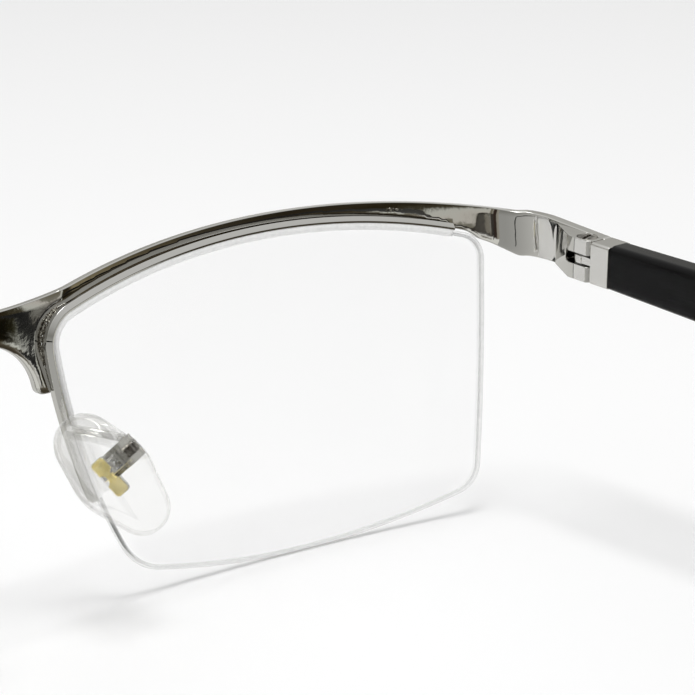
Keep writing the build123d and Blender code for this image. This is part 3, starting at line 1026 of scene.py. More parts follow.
@dataclass
class EdgeSweep:
    """Node tree that runs a cross-section along an outline and curves both onto the lens face."""

    lens: LensShape
    tree: bpy.types.NodeTree = field(init=False)

    @property
    def sizes(self) -> dict[str, float | Triple]:
        """Sizes that the tree works with.

        Returns:
            Sizes of the lens and the unit, by the name of their input.
        """
        lens = self.lens
        ways = {"Vertex": lens.vertex, "Across": lens.across, "Up": lens.front.up, "Inward": lens.inward}
        sizes = {name: tuple(way) for name, way in ways.items()}
        return {"Ball radius": lens.ball_radius, "Unit": MM, **sizes}

    def __post_init__(self) -> None:
        """Builds the tree with its named inputs."""
        tree = bpy.data.node_groups.new("lens edge sweep", "GeometryNodeTree")
        tree.interface.new_socket("Geometry", in_out="OUTPUT", socket_type="NodeSocketGeometry")
        kinds = {"Outline": "Object", "Section": "Object", "Finish": "Material"}
        for name, size in self.sizes.items():
            kinds[name] = "Vector" if isinstance(size, tuple) else "Float"
        for name, kind in kinds.items():
            tree.interface.new_socket(name, in_out="INPUT", socket_type=f"NodeSocket{kind}")
        given = add_node(tree, "NodeGroupInput").outputs
        curves = []
        for name in ("Outline", "Section"):
            wire = add_node(tree, "GeometryNodeObjectInfo", {"Object": given[name]}).outputs["Geometry"]
            curves.append(add_node(tree, "GeometryNodeMeshToCurve", {"Mesh": wire}))
        level = add_node(tree, "GeometryNodeSetCurveNormal", {"Curve": curves[0]}, mode="Z_UP")
        parts = {"Fill Caps": True, "Curve": level, "Profile Curve": curves[1]}
        flat = add_node(tree, "GeometryNodeCurveToMesh", parts)
        spot = add_node(tree, "GeometryNodeInputPosition")
        place = add_node(tree, "ShaderNodeSeparateXYZ", (spot,)).outputs
        reach = add_node(tree, "ShaderNodeMath", (given["Ball radius"], place["Z"]), operation="SUBTRACT")
        left = add_node(tree, "ShaderNodeMath", (reach, reach), operation="MULTIPLY")
        for axis in ("X", "Y"):
            square = add_node(tree, "ShaderNodeMath", (place[axis], place[axis]), operation="MULTIPLY")
            left = add_node(tree, "ShaderNodeMath", (left, square), operation="SUBTRACT")
        root = add_node(tree, "ShaderNodeMath", (left,), operation="SQRT")
        sag = add_node(tree, "ShaderNodeMath", (given["Ball radius"], root), operation="SUBTRACT")
        total = given["Vertex"]
        for way, amount in (("Across", place["X"]), ("Up", place["Y"]), ("Inward", sag)):
            step = {0: given[way], "Scale": amount}
            step = add_node(tree, "ShaderNodeVectorMath", step, operation="SCALE")
            total = add_node(tree, "ShaderNodeVectorMath", (total, step), operation="ADD")
        total = {0: total, "Scale": given["Unit"]}
        metres = add_node(tree, "ShaderNodeVectorMath", total, operation="SCALE")
        curved = add_node(tree, "GeometryNodeSetPosition", {"Geometry": flat, "Position": metres})
        real = add_node(tree, "GeometryNodeRealizeInstances", {"Geometry": curved})
        dressed = add_node(tree, "GeometryNodeSetMaterial", {"Geometry": real, "Material": given["Finish"]})
        add_node(tree, "NodeGroupOutput", {"Geometry": dressed})
        self.tree = tree

    @staticmethod
    def _wire(name: str, points: list[Point], closed: bool) -> bpy.types.Object:
        """A flat chain of edges that the tree reads as a curve.

        Args:
            name: Name of the helper.
            points: Its points.
            closed: Whether its ends join.

        Returns:
            The helper object, outside the scene.
        """
        mesh = bpy.data.meshes.new(name)
        edges = [(i, i + 1) for i in range(len(points) - 1)] + ([(len(points) - 1, 0)] if closed else [])
        mesh.from_pydata([(x, y, 0) for x, y in points], edges, [])
        return bpy.data.objects.new(name, mesh)

    def run(
        self, name: str, outline: list[Point], section: list[Point], finish: bpy.types.Material
    ) -> bpy.types.Object:
        """Makes one piece.

        Args:
            name: Name of the piece.
            outline: Open path about the middle of the lens, counter-clockwise.
            section: Cross-section: x outward, y out of the face.
            finish: Material of the piece.

        Returns:
            The piece as a plain mesh.
        """
        helpers = [self._wire(f"{name} path", outline, False), self._wire(f"{name} section", section, True)]
        piece = new_object(name, bpy.data.meshes.new(name))
        modifier = piece.modifiers.new("sweep", "NODES")
        modifier.node_group = self.tree
        ids = {s.name: s.identifier for s in self.tree.interface.items_tree if s.in_out == "INPUT"}
        given = {"Outline": helpers[0], "Section": helpers[1], "Finish": finish, **self.sizes}
        for socket, value in given.items():
            modifier[ids[socket]] = value
        applied(piece)
        for helper in helpers:
            bpy.data.objects.remove(helper)
        smoothed(turned_out(piece).data)
        return weighted(piece)


def pair(piece: bpy.types.Object, stem: str, body: Body) -> list[bpy.types.Object]:
    """Sets a right-hand piece in place of its node and mirrors it for the left.

    Args:
        piece: The right-hand piece, already named.
        stem: Name that both nodes share after their side.
        body: Body that they ride on.

    Returns:
        Both pieces.
    """
    both = [piece, mirrored(piece, piece.name.replace(Side.RIGHT.value, Side.LEFT.value))]
    for side, made in zip(Side, both):
        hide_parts(f"{side.value}_{stem}")
        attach(made, body.on(side))
    return both


@dataclass
class RimSet:
    """Metal upper rim, liner, lens and the nylon cord that holds it, on both sides."""

    lens: LensShape
    rim_height: float = 0.75
    rim_depth: float = 1.4
    rim_corner: float = 0.08
    rim_bevel: float = 0.5
    rim_detail: float = 0.05
    lens_gap: float = 0.25
    lens_thickness: float = 1.3
    chamfer: float = 0.12
    front_chamfer: float = 0.34
    liner_cover: float = 0.75
    liner_lip: float = 0.1
    liner_play: float = 0.01
    liner_rim_play: float = 0.02
    liner_wall_play: float = 0.04
    liner_short: float = 0.15
    groove_depth: float = 0.35
    groove_width: float = 0.6
    cord_radius: float = 0.28
    cord_sink: float = 0.32
    cord_sides: int = 14
    end_tuck: float = 2.6
    spacing: float = 0.35
    face_rings: int = 20
    face_middle: float = 0.02
    face_spread: float = 0.8

    def metal(self, sweep: EdgeSweep, finish: bpy.types.Material) -> None:
        """Builds the channelled upper rim.

        Args:
            sweep: Tree that runs sections along the lens edge.
            finish: Plated metal.
        """
        height, depth, bevel = self.rim_height, self.rim_depth, self.rim_bevel
        corners = [(height, 0.0), (0.0, 0.0), (0.0, -depth)]
        corners += [(height - bevel, -depth), (height, bevel - depth)]
        sides = tuple(straight(a, b) for a, b in zip(corners, corners[1:] + corners[:1]))
        section = RoundedPath(sides, (self.rim_corner,) * len(sides), closed=True).points(self.rim_detail)
        path = self.lens.rim_part(self.lens.outline(0, self.spacing))
        pair(sweep.run("rim_metal_right", path, section, finish), "rim_wire", Body.FRONT)

    def liner(self, sweep: EdgeSweep, finish: bpy.types.Material) -> None:
        """Builds the clear liner between rim and lens.

        Args:
            sweep: Tree that runs sections along the lens edge.
            finish: Milky nylon.
        """
        lip, cover, play = self.liner_lip, -self.liner_cover, self.liner_play
        root, wall = self.liner_rim_play, self.liner_wall_play - self.lens_gap
        half = [(root, lip), (cover + lip / 2, lip), (cover, lip / 2), (cover, play), (wall, play)]
        section = half + [(x, -self.lens_thickness - y) for x, y in reversed(half)]
        path = self.lens.rim_part(self.lens.outline(0, self.spacing), self.liner_short)
        pair(sweep.run("liner_strip_right", path, section, finish), "rim_liner", Body.FRONT)

    def cord(self, sweep: EdgeSweep, finish: bpy.types.Material) -> None:
        """Builds the nylon cord that goes round the bare part of the lens and into both rim ends.

        Args:
            sweep: Tree that runs sections along the lens edge.
            finish: Clear nylon.
        """
        loop = self.lens.outline(-self.cord_sink, self.spacing)
        rim = self.lens.rim_part(loop, self.end_tuck)
        start = max(i for i, p in enumerate(loop) if p in rim)
        stop = min(i for i, p in enumerate(loop) if p in rim)
        path = loop[start:] + loop[: stop + 1]
        middle, radius = self.lens_thickness / 2, self.cord_radius
        turns = [2 * math.pi * i / self.cord_sides for i in range(self.cord_sides)]
        section = [(radius * math.cos(turn), -middle + radius * math.sin(turn)) for turn in turns]
        pair(sweep.run("cord_line_right", path, section, finish), "nylon_cord", Body.FRONT)

    def glass(self, finishes: dict[Side, bpy.types.Material]) -> None:
        """Builds the lens: two ball-shaped faces, chamfers and the groove ground into its edge.

        Args:
            finishes: Lens material of each side.
        """
        edge, floor = -self.lens_gap, -self.lens_gap - self.groove_depth
        low, half = self.lens_thickness, self.groove_width / 2
        loop = self.lens.outline(0)
        normals = outward(loop, True)
        shares = [i / self.face_rings for i in range(self.face_rings)]
        shares = [self.face_middle + (1 - self.face_middle) * share**self.face_spread for share in shares]
        first, last = (edge - self.front_chamfer, 0.0), (edge - self.chamfer, low)
        profile = [
            *((share, *first) for share in shares),
            (1.0, *first),
            (1.0, edge, self.front_chamfer),
            (1.0, edge, low / 2 - half),
            (1.0, floor, low / 2 - half / 2),
            (1.0, floor, low / 2 + half / 2),
            (1.0, edge, low / 2 + half),
            (1.0, edge, low - self.chamfer),
            (1.0, *last),
            *((share, *last) for share in reversed(shares)),
        ]
        points: list[Vector] = []
        for share, grow, depth in profile:
            ring = grown(loop, normals, grow)
            points += [self.lens.place(x * share, y * share, depth) for x, y in ring]
        ends = (tuple(range(len(loop))), tuple(reversed(range(len(points) - len(loop), len(points)))))
        mesh = mesh_of("lens_clear_right", points, [ends[0], *ring_faces(len(profile), len(loop)), ends[1]])
        both = pair(weighted(turned_out(new_object("lens_clear_right", mesh))), "lens", Body.FRONT)
        for side, piece in zip(Side, both):
            piece.data.materials.clear()
            piece.data.materials.append(finishes[side])


# ---------------------------------------------------------------- brow bar
@dataclass
class BrowBar:
    """The pressed sheet front: brow, bridge, teeth beside the nose and both end pieces."""

    lens: LensShape
    thickness: float = 1.2
    brow_thickness: float = 0.85
    thins_between: Point = (56.0, 66.0)
    edge_round: float = 0.12
    edge_steps: int = 3
    edge_spacing: float = 0.22
    grid: float = 0.45
    grid_clearance: float = 0.45
    merge: float = 1e-6
    half_width: float = 70.9
    corner_x: float = 69.4
    bridge_x: float = 10.5
    bridge_front: float = 0.5
    flare_length: float = 4.6
    plan_centre: Point = (27.43, 129.683)
    plan_radius: float = 129.577
    plan_radii: Triple = (6.0, 7.0, 6.0)
    plan_end_back: float = 30.0
    arm_start_back: float = 8.9
    rear_top: Point = (20.94, 13.355)
    rear_bottom: Point = (20.293, 8.6)
    top_corner: Point = (69.0, 15.466)
    corner_bottom: float = 10.4
    brow_top: Point = (35.5, 19.85)
    bridge_end: Point = (10.0, 16.9)
    bridge_top: float = 15.9
    gap_half: float = 2.0
    tooth_end: float = 6.35
    tooth_x: float = 6.0
    tooth_round: float = 0.9
    tooth_width: float = 6.0
    arch_top: float = 12.55
    slope_start: Point = (58.5, 15.0)
    slope_middle: Point = (64.1, 13.05)
    bare_grow: float = 0.25
    bare_from: float = 20.0
    bare_to: float = 66.0
    join_gap: float = 0.1
    plan_spacing: float = 0.1
    tooth_spacing: float = 0.2
    spacing: float = 0.25
    top_spacing: float = 0.3
    softenings: int = 3
    hinge: Vector = field(default_factory=lambda: Vector((-68.8, -55.7678, 31.0026)))
    knuckle_reach: float = 1.4
    knuckle_half_height: float = 0.8
    rim_height: float = 0.75
    rim_lap: float = 0.08
    crown_deg: float = 9.0
    crown_reach: float = 0.9
    twist_deg: float = 6.0
    twists_between: tuple[float, float, float, float] = (57.5, 60.5, 64.0, 65.5)

    def _plan_back(self, x: float) -> float:
        """Depth of the front face at a distance from the middle.

        Args:
            x: Distance, on either side.

        Returns:
            Depth behind the front plane.
        """
        return self.plan_centre[1] - math.sqrt(self.plan_radius**2 - (abs(x) - self.plan_centre[0]) ** 2)

    def plan(self) -> tuple[list[Point], list[Point], list[float]]:
        """Plan line of the front face, from the middle to the wearer's left hinge.

        Returns:
            Points, their unit normals to the wearer and lengths from the middle.
        """
        bx, cx, fx = self.bridge_x, self.corner_x, self.half_width
        corner = (cx, self._plan_back(cx))
        flare = (fx, corner[1] + self.flare_length)
        middle = self.lens.centre_x
        half = (
            Arc((bx, self._plan_back(bx)), (middle, self._plan_back(middle)), corner),
            straight(corner, flare),
            straight(flare, (fx, self.plan_end_back)),
        )
        bridge = Arc((-bx, self._plan_back(bx)), (0, self.bridge_front), (bx, self._plan_back(bx)))
        line = RoundedPath((bridge, *half), self.plan_radii).points(self.plan_spacing)
        line = [(0.0, self.bridge_front), *[p for p in line if p[0] > 0.01]]
        normals = [(-nx, -ny) for nx, ny in outward(line, False)]
        normals[0] = (0.0, 1.0)
        return line, normals, lengths_of(line)

    def _seen(self, path: list[Point]) -> list[Point]:
        """Carries points of the lens outline onto the front face of the bar.

        Args:
            path: Points about the middle of the lens.

        Returns:
            Distance from the middle of the front, and height, of each point.
        """
        front = self.lens.front
        found = []
        for x, y in path:
            point = self.lens.place(x, y, 0)
            away, up, back = front.split(point)
            shift = self._plan_back(away) - back
            away, up, back = front.split(point + self.lens.inward * shift)
            found.append((-away, up))
        return found

    def _bottom(self) -> list[Point]:
        """Lower edge of one half, from the middle to the end piece.

        Returns:
            Distance from the middle, and height, of each point.
        """
        tooth = self.tooth_end
        inner, outer = (self.tooth_x, tooth), (self.tooth_x + self.tooth_width, tooth)
        _, middle, radius = Arc((-self.tooth_x, tooth), (0, self.arch_top), inner).circle()
        slant = radius * math.sqrt(0.5)
        arch = Arc((0.0, self.arch_top), (slant, middle + slant), inner)
        low = RoundedPath((arch, straight(inner, outer)), (self.tooth_round,)).points(self.tooth_spacing)
        rim = self.lens.rim_part(self.lens.outline(self.rim_height - self.rim_lap, self.spacing))
        rim = self._seen(rim[::-1])
        at, hit = crossing(rim, (self.gap_half, tooth), outer)
        low = [p for p in low if p[0] < hit[0] - self.join_gap] + [hit] + rim[at + 1 :]
        loop = self.lens.outline(self.bare_grow, self.spacing)
        upper = self._seen([p for p in loop if p[1] > 0 and p[0] > self.bare_from])
        bare = sorted(p for p in upper if p[0] > low[-1][0])
        ends = Arc(self.slope_start, self.slope_middle, (self.top_corner[0], self.corner_bottom))
        slope = swept(ends.circle(), ends.start, ends.end, self.spacing) + [ends.end]
        slope = [p for p in slope if p[0] > low[-1][0]]
        over = [(x, max(y, self._value_at(slope, x))) for x, y in bare if x < self.bare_to]
        last = max((i for i, p in enumerate(over) if p[1] > self._value_at(slope, p[0]) + 1e-6), default=0)
        over = over[: last + 1]
        return low + over + [p for p in slope if not over or p[0] > over[-1][0]]

    @staticmethod
    def _value_at(path: list[Point], x: float) -> float:
        """Value of a path at a distance, held level beyond its ends.

        Args:
            path: Points from the middle outwards.
            x: The distance.

        Returns:
            Height there.
        """
        if x <= path[0][0]:
            return path[0][1]
        for a, b in zip(path, path[1:]):
            if a[0] <= x <= b[0]:
                return a[1] + (b[1] - a[1]) * ((x - a[0]) / max(b[0] - a[0], 1e-9))
        return path[-1][1]

    def _top(self) -> list[Point]:
        """Upper edge of one half, from the middle to the end piece.

        Returns:
            Distance from the middle, and height, of each point.
        """
        middle, end = (0.0, self.bridge_top), self.bridge_end
        found: list[Point] = []
        for arc, first in (
            (Arc((-end[0], end[1]), middle, end), middle),
            (Arc(end, self.brow_top, self.top_corner), end),
        ):
            found += swept(arc.circle(), first, arc.end, self.top_spacing)
        found[0] = middle
        return found + [self.top_corner]

    def outline(self) -> list[Point]:
        """The developed outline of the sheet, counter-clockwise.

        Returns:
            Length along the plan line, and height, of each point.
        """
        line, _, lengths = self.plan()
        across = [(p[0], length) for p, length in zip(line, lengths)]
        edges = []
        for half, rear, level in (
            (self._bottom(), self.rear_bottom, self.corner_bottom),
            (self._top(), self.rear_top, self.top_corner[1]),
        ):
            edge = [(self._value_at(across, x), y) for x, y in half]
            for (x, back), length in zip(line[::3], lengths[::3]):
                if x > self.top_corner[0] and back < rear[0]:
                    share = max(0.0, (back - self.arm_start_back) / (rear[0] - self.arm_start_back))
                    edge.append((length, level + (rear[1] - level) * share))
            last = next(i for i, p in enumerate(line) if p[1] >= rear[0])
            edges.append(edge + [(lengths[last], rear[1])])
        right = edges[0] + edges[1][::-1]
        left = [(-s, y) for s, y in reversed(right[1:-1])]
        return self._evened(right + left)

    def _evened(self, loop: list[Point]) -> list[Point]:
        """Resamples a closed loop evenly and takes the points off its corners.

        Args:
            loop: The loop.

        Returns:
            The new loop.
        """
        closed = loop + [loop[0]]
        lengths = lengths_of(closed)
        count = int(lengths[-1] / self.edge_spacing)
        found, at = [], 0
        for k in range(count):
            target = lengths[-1] * k / count
            while lengths[at + 1] < target:
                at += 1
            share = (target - lengths[at]) / max(lengths[at + 1] - lengths[at], 1e-9)
            a, b = closed[at], closed[at + 1]
            found.append((a[0] + (b[0] - a[0]) * share, a[1] + (b[1] - a[1]) * share))
        for _ in range(self.softenings):
            both = [(found[i - 1], found[i], found[(i + 1) % count]) for i in range(count)]
            found = [(b[0] / 2 + (a[0] + c[0]) / 4, b[1] / 2 + (a[1] + c[1]) / 4) for a, b, c in both]
        return found

    def build(self, finish: bpy.types.Material) -> bpy.types.Object:
        """Builds the sheet: a meshed face with rounded edges on both sides, bent along the plan line.

        Args:
            finish: Plated metal.

        Returns:
            The bar.
        """
        line, plan_normals, lengths = self.plan()
        front = self.lens.front
        loop = self.outline()
        count = len(loop)
        normals = outward(loop, True)

        def bent(s: float, up: float, depth: float) -> tuple[Vector, Vector, Vector]:
            """Bends a point of the sheet along the plan line.

            Args:
                s: Length along the sheet.
                up: Height.
                depth: Depth behind the front face.

            Returns:
                Its place, the way to the wearer and the way along the sheet.
            """
            side, run = (-1 if s < 0 else 1), abs(s)
            low, high = 0, len(lengths) - 1
            while high - low > 1:
                mid = (low + high) // 2
                low, high = (mid, high) if lengths[mid] <= run else (low, mid)
            share = min(1.0, (run - lengths[low]) / (lengths[high] - lengths[low]))
            x, back = (line[low][k] + (line[high][k] - line[low][k]) * share for k in (0, 1))
            one, two = plan_normals[low], plan_normals[high]
            nx, nb = (one[k] + (two[k] - one[k]) * share for k in (0, 1))
            inward = (Vector((side * nx, 0, 0)) + front.back * nb).normalized()
            along = (Vector((nb, 0, 0)) - front.back * (side * nx)).normalized()
            return front.place(side * (x + nx * depth), up, back + nb * depth), inward, along

        crown = math.radians(self.crown_deg)
        nearest = kdtree.KDTree(count)
        for k, (s, y) in enumerate(loop):
            nearest.insert((s, y, 0), k)
        nearest.balance()
        turns = [math.pi / 2 * i / self.edge_steps for i in range(self.edge_steps + 1)]
        rings = [(turn, 1) for turn in turns] + [(turn, -1) for turn in reversed(turns)]
        points: list[Vector] = []
        shading: list[Vector] = []
        for turn, face in rings:
            inset, sunk = self.edge_round * (1 - math.sin(turn)), self.edge_round * (1 - math.cos(turn))
            for (s, y), (nx, ny) in zip(loop, normals):
                depth = sunk if face > 0 else self._thickness_at(s) - sunk
                place, inward, along = bent(s - nx * inset, y - ny * inset, depth)
                points.append(place)
                wall = along * nx + front.up * ny
                lean = turn if face > 0 else crown + turn * (1 - crown / (math.pi / 2))
                shading.append(wall * math.sin(lean) - inward * (face * math.cos(lean)))
        faces = ring_faces(len(rings), count)
        flat, triangles, ring_index = self._filled(grown(loop, normals, -self.edge_round))
        for face, ring in ((1, 0), (-1, len(rings) - 1)):
            where = []
            for (s, y), own in zip(flat, ring_index):
                if own >= 0:
                    where.append(ring * count + own)
                    continue
                place, inward, along = bent(s, y, 0.0 if face > 0 else self._thickness_at(s))
                where.append(len(points))
                points.append(self._clear_of_knuckle(place) if face < 0 else place)
                if face > 0:
                    shading.append(-inward)
                    continue
                _, k, away = nearest.find((s, y, 0))
                wall = along * normals[k][0] + front.up * normals[k][1]
                lean = crown * max(0.0, 1 - (away - self.edge_round) / self.crown_reach) ** 2
                twist = front.up * self._twist_at(s)
                shading.append(wall * math.sin(lean) + inward * math.cos(lean) + twist)
            for triangle in triangles:
                corners = tuple(where[k] for k in triangle)
                faces.append(corners if face > 0 else corners[::-1])
        mesh = mesh_of("brow_bar", points, faces)
        mesh.normals_split_custom_set_from_vertices([tuple(n.normalized()) for n in shading])
        piece = new_object("brow_bar", mesh)
        piece.data.materials.append(finish)
        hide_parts("front_bar")
        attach(piece, Body.FRONT.value)
        return piece

    def _thickness_at(self, run: float) -> float:
        """Thickness of the sheet: buffed thin along the brow, full at the end pieces.

        Args:
            run: Length along the sheet from its middle.

        Returns:
            Thickness in millimetres.
        """
        start, end = self.thins_between
        share = min(1.0, max(0.0, (abs(run) - start) / (end - start)))
        thinned = self.thickness - self.brow_thickness
        return self.brow_thickness + thinned * share * share * (3 - 2 * share)

    def _twist_at(self, run: float) -> float:
        """How far the buffed inner face leans upward where the bar flows into the end piece.

        Args:
            run: Length along the sheet from its middle.

        Returns:
            Lean as a share of the face's normal.
        """
        start, full, last, end = self.twists_between
        share = max(0.0, min(1.0, (abs(run) - start) / (full - start), (end - abs(run)) / (end - last)))
        return math.tan(math.radians(self.twist_deg)) * share * share * (3 - 2 * share)

    def _clear_of_knuckle(self, place: Vector) -> Vector:
        """Sinks a point of the inner face where the temple's knuckle turns.

        Args:
            place: Point in millimetres.

        Returns:
            The point, moved out if the knuckle would touch it.
        """
        pivot = Vector((math.copysign(self.hinge.x, place.x), self.hinge.y, self.hinge.z))
        away = place - pivot
        if abs(away.z) > self.knuckle_half_height:
            return place
        reach = math.hypot(away.x, away.y)
        if reach >= self.knuckle_reach:
            return place
        return pivot + Vector((away.x, away.y, 0)) * (self.knuckle_reach / reach) + Vector((0, 0, away.z))

    def _filled(self, loop: list[Point]) -> tuple[list[Point], list[tuple[int, int, int]], list[int]]:
        """Fills a loop with even triangles.

        Args:
            loop: Counter-clockwise loop.

        Returns:
            Points, counter-clockwise triangles and, for each point, its index in the loop or -1.
        """
        slots: dict[tuple[int, int], list[Point]] = {}
        for p in loop:
            slots.setdefault((int(p[0] // self.grid), int(p[1] // self.grid)), []).append(p)
        inside: list[Vector] = []
        left, right = min(p[0] for p in loop), max(p[0] for p in loop)
        edges = list(zip(loop, loop[1:] + loop[:1]))
        columns = int((right - left) / self.grid)
        for c in range(1, columns):
            x = left + self.grid * c
            cut_by = [(a, b) for a, b in edges if (a[0] - x) * (b[0] - x) < 0]
            cuts = sorted(a[1] + (b[1] - a[1]) * (x - a[0]) / (b[0] - a[0]) for a, b in cut_by)
            for low, high in zip(cuts[::2], cuts[1::2]):
                row = math.ceil((low + self.grid * 0.5) / self.grid)
                while row * self.grid < high - self.grid * 0.5:
                    y = row * self.grid
                    near = [
                        p
                        for i in (-1, 0, 1)
                        for j in (-1, 0, 1)
                        for p in slots.get((int(x // self.grid) + i, int(y // self.grid) + j), [])
                    ]
                    if all(math.hypot(p[0] - x, p[1] - y) > self.grid * self.grid_clearance for p in near):
                        inside.append(Vector((x, y)))
                    row += 1
        given = [Vector(p) for p in loop] + inside
        rim = [tuple(range(len(loop)))]
        corners, _, cut, origins, _, _ = geometry.delaunay_2d_cdt(given, [], rim, 1, self.merge)
        triangles = []
        for a, b, c in cut:
            turn = (corners[b] - corners[a]).cross(corners[c] - corners[a])
            triangles.append((a, b, c) if turn > 0 else (a, c, b))
        own = [min((k for k in origin if k < len(loop)), default=-1) for origin in origins]
        return [(v.x, v.y) for v in corners], triangles, own


@dataclass
class SolderSeams:
    """Silver solder that joins rim and bar from behind: a thin seam at the nose, a smear at the temple."""

    lens: LensShape
    rim_height: float = 0.75
    seam_width: float = 0.22
    seam_rise: float = 0.16
    smear_width: float = 0.95
    smear_rise: float = 0.75
    sunk_in_rim: float = 0.06
    sunk_in_bar: float = 0.1
    corner: float = 0.1
    corner_steps: int = 3
    seam_from: Point = (-21.0, 6.9)
    smear_between: Point = (16.8, 24.4)
    spacing: float = 0.15
    grain_mm: float = 0.35
    roughness_mm: float = 0.1
    set_level: float = 0.6

    def build(self, sweep: EdgeSweep, finish: bpy.types.Material) -> None:
        """Builds both seams and both smears.

        Args:
            sweep: Tree that runs sections along the lens edge.
            finish: Solder.
        """
        path = self.lens.rim_part(self.lens.outline(self.rim_height, self.spacing))
        nose = [p for p in path if p[0] < self.seam_from[0] and p[1] > self.seam_from[1]]
        temple = [p for p in path if self.smear_between[0] < p[0] < self.smear_between[1]]
        for name, part, width, rise in (
            ("solder_seam", nose, self.seam_width, self.seam_rise),
            ("solder_smear", temple, self.smear_width, self.smear_rise),
        ):
            bar = RoundedBar(-self.sunk_in_rim, width, -rise, self.sunk_in_bar, self.corner)
            piece = sweep.run(f"{name}_right", part, bar.points(self.corner_steps), finish)
            self._roughen(piece)
            for made, side in zip((piece, mirrored(piece, f"{name}_left")), Side):
                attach(made, Body.FRONT.on(side))

    def _roughen(self, piece: bpy.types.Object) -> None:
        """Makes the surface of a seam uneven, as molten solder sets.

        Args:
            piece: The seam.
        """
        dense = piece.modifiers.new("dense", "SUBSURF")
        dense.subdivision_type = "SIMPLE"
        dense.levels = dense.render_levels = 2
        grain = bpy.data.textures.new("solder grain", "CLOUDS")
        grain.noise_scale = self.grain_mm * MM
        grain.noise_depth = 3
        uneven = piece.modifiers.new("uneven", "DISPLACE")
        uneven.texture = grain
        uneven.texture_coords = "LOCAL"
        uneven.strength = self.roughness_mm * 2 * MM
        uneven.mid_level = self.set_level
        smoothed(applied(piece).data)


# ---------------------------------------------------------------- hinges, temples and pads
@dataclass
class Hinges:
    """Soldered hinge blocks with their screws and washers."""

    block_edge: float = 0.12
    screw_edge: float = 0.06
    washer_edge: float = 0.03

    def build(
        self, metal: bpy.types.Material, steel: bpy.types.Material, nylon: bpy.types.Material
    ) -> None:
        """Dresses both hinges.

        Args:
            metal: Plated metal of the blocks.
            steel: Screw steel.
            nylon: Washer nylon.
        """
        for side in Side:
            softened(side, "hinge_block", "hinge_leaf", self.block_edge, metal, Body.FRONT)
            softened(side, "hinge_screw", "hinge_pin", self.screw_edge, steel, Body.FRONT)
            softened(side, "hinge_washers", "hinge_shims", self.washer_edge, nylon, Body.FRONT)


@dataclass
class Temples:
    """Acetate temples on their steel cores, with metal caps at the hinge."""

    sleeve_edge: float = 0.15
    cap_edge: float = 0.15
    core_edge: float = 0.1

    def build(
        self, acetate: bpy.types.Material, metal: bpy.types.Material, steel: bpy.types.Material
    ) -> None:
        """Dresses both temples.

        Args:
            acetate: Black acetate.
            metal: Plated metal of the caps.
            steel: Steel of the cores.
        """
        for side in Side:
            softened(side, "temple", "temple_sleeve", self.sleeve_edge, acetate, Body.TEMPLE)
            softened(side, "temple_cap", "temple_ferrule", self.cap_edge, metal, Body.TEMPLE)
            softened(side, "temple_core", "temple_spine", self.core_edge, steel, Body.TEMPLE)


@dataclass
class NosePads:
    """Silicone pads with gilt inserts, screwed into boxes on thin metal arms."""

    cushion_edge: float = 0.1
    plate_edge: float = 0.05
    bracket_edge: float = 0.05
    screw_edge: float = 0.04
    plate_thickness: float = 0.34

    def build(
        self,
        silicone: bpy.types.Material,
        gold: bpy.types.Material,
        metal: bpy.types.Material,
        steel: bpy.types.Material,
    ) -> None:
        """Dresses both pads.

        Args:
            silicone: Clear silicone.
            gold: Gilt sheet.
            metal: Plated metal of the arms and of the riveted bosses.
            steel: Screw steel.
        """
        for side in Side:
            softened(side, "nose_pad", "pad_cushion", self.cushion_edge, silicone, Body.PAD)
            insert = softened(side, "pad_insert", "pad_plate", self.plate_edge, gold, Body.PAD)
            softened(side, "pad_arm", "pad_bracket", self.bracket_edge, metal, Body.FRONT)
            softened(side, "pad_screw", "pad_pin", self.screw_edge, steel, Body.FRONT)
            insert.data.materials.append(metal)
            plate = max(insert.data.polygons, key=lambda face: face.area)
            for face in insert.data.polygons:
                if abs((face.center - plate.center).dot(plate.normal)) > self.plate_thickness * MM:
                    face.material_index = 1


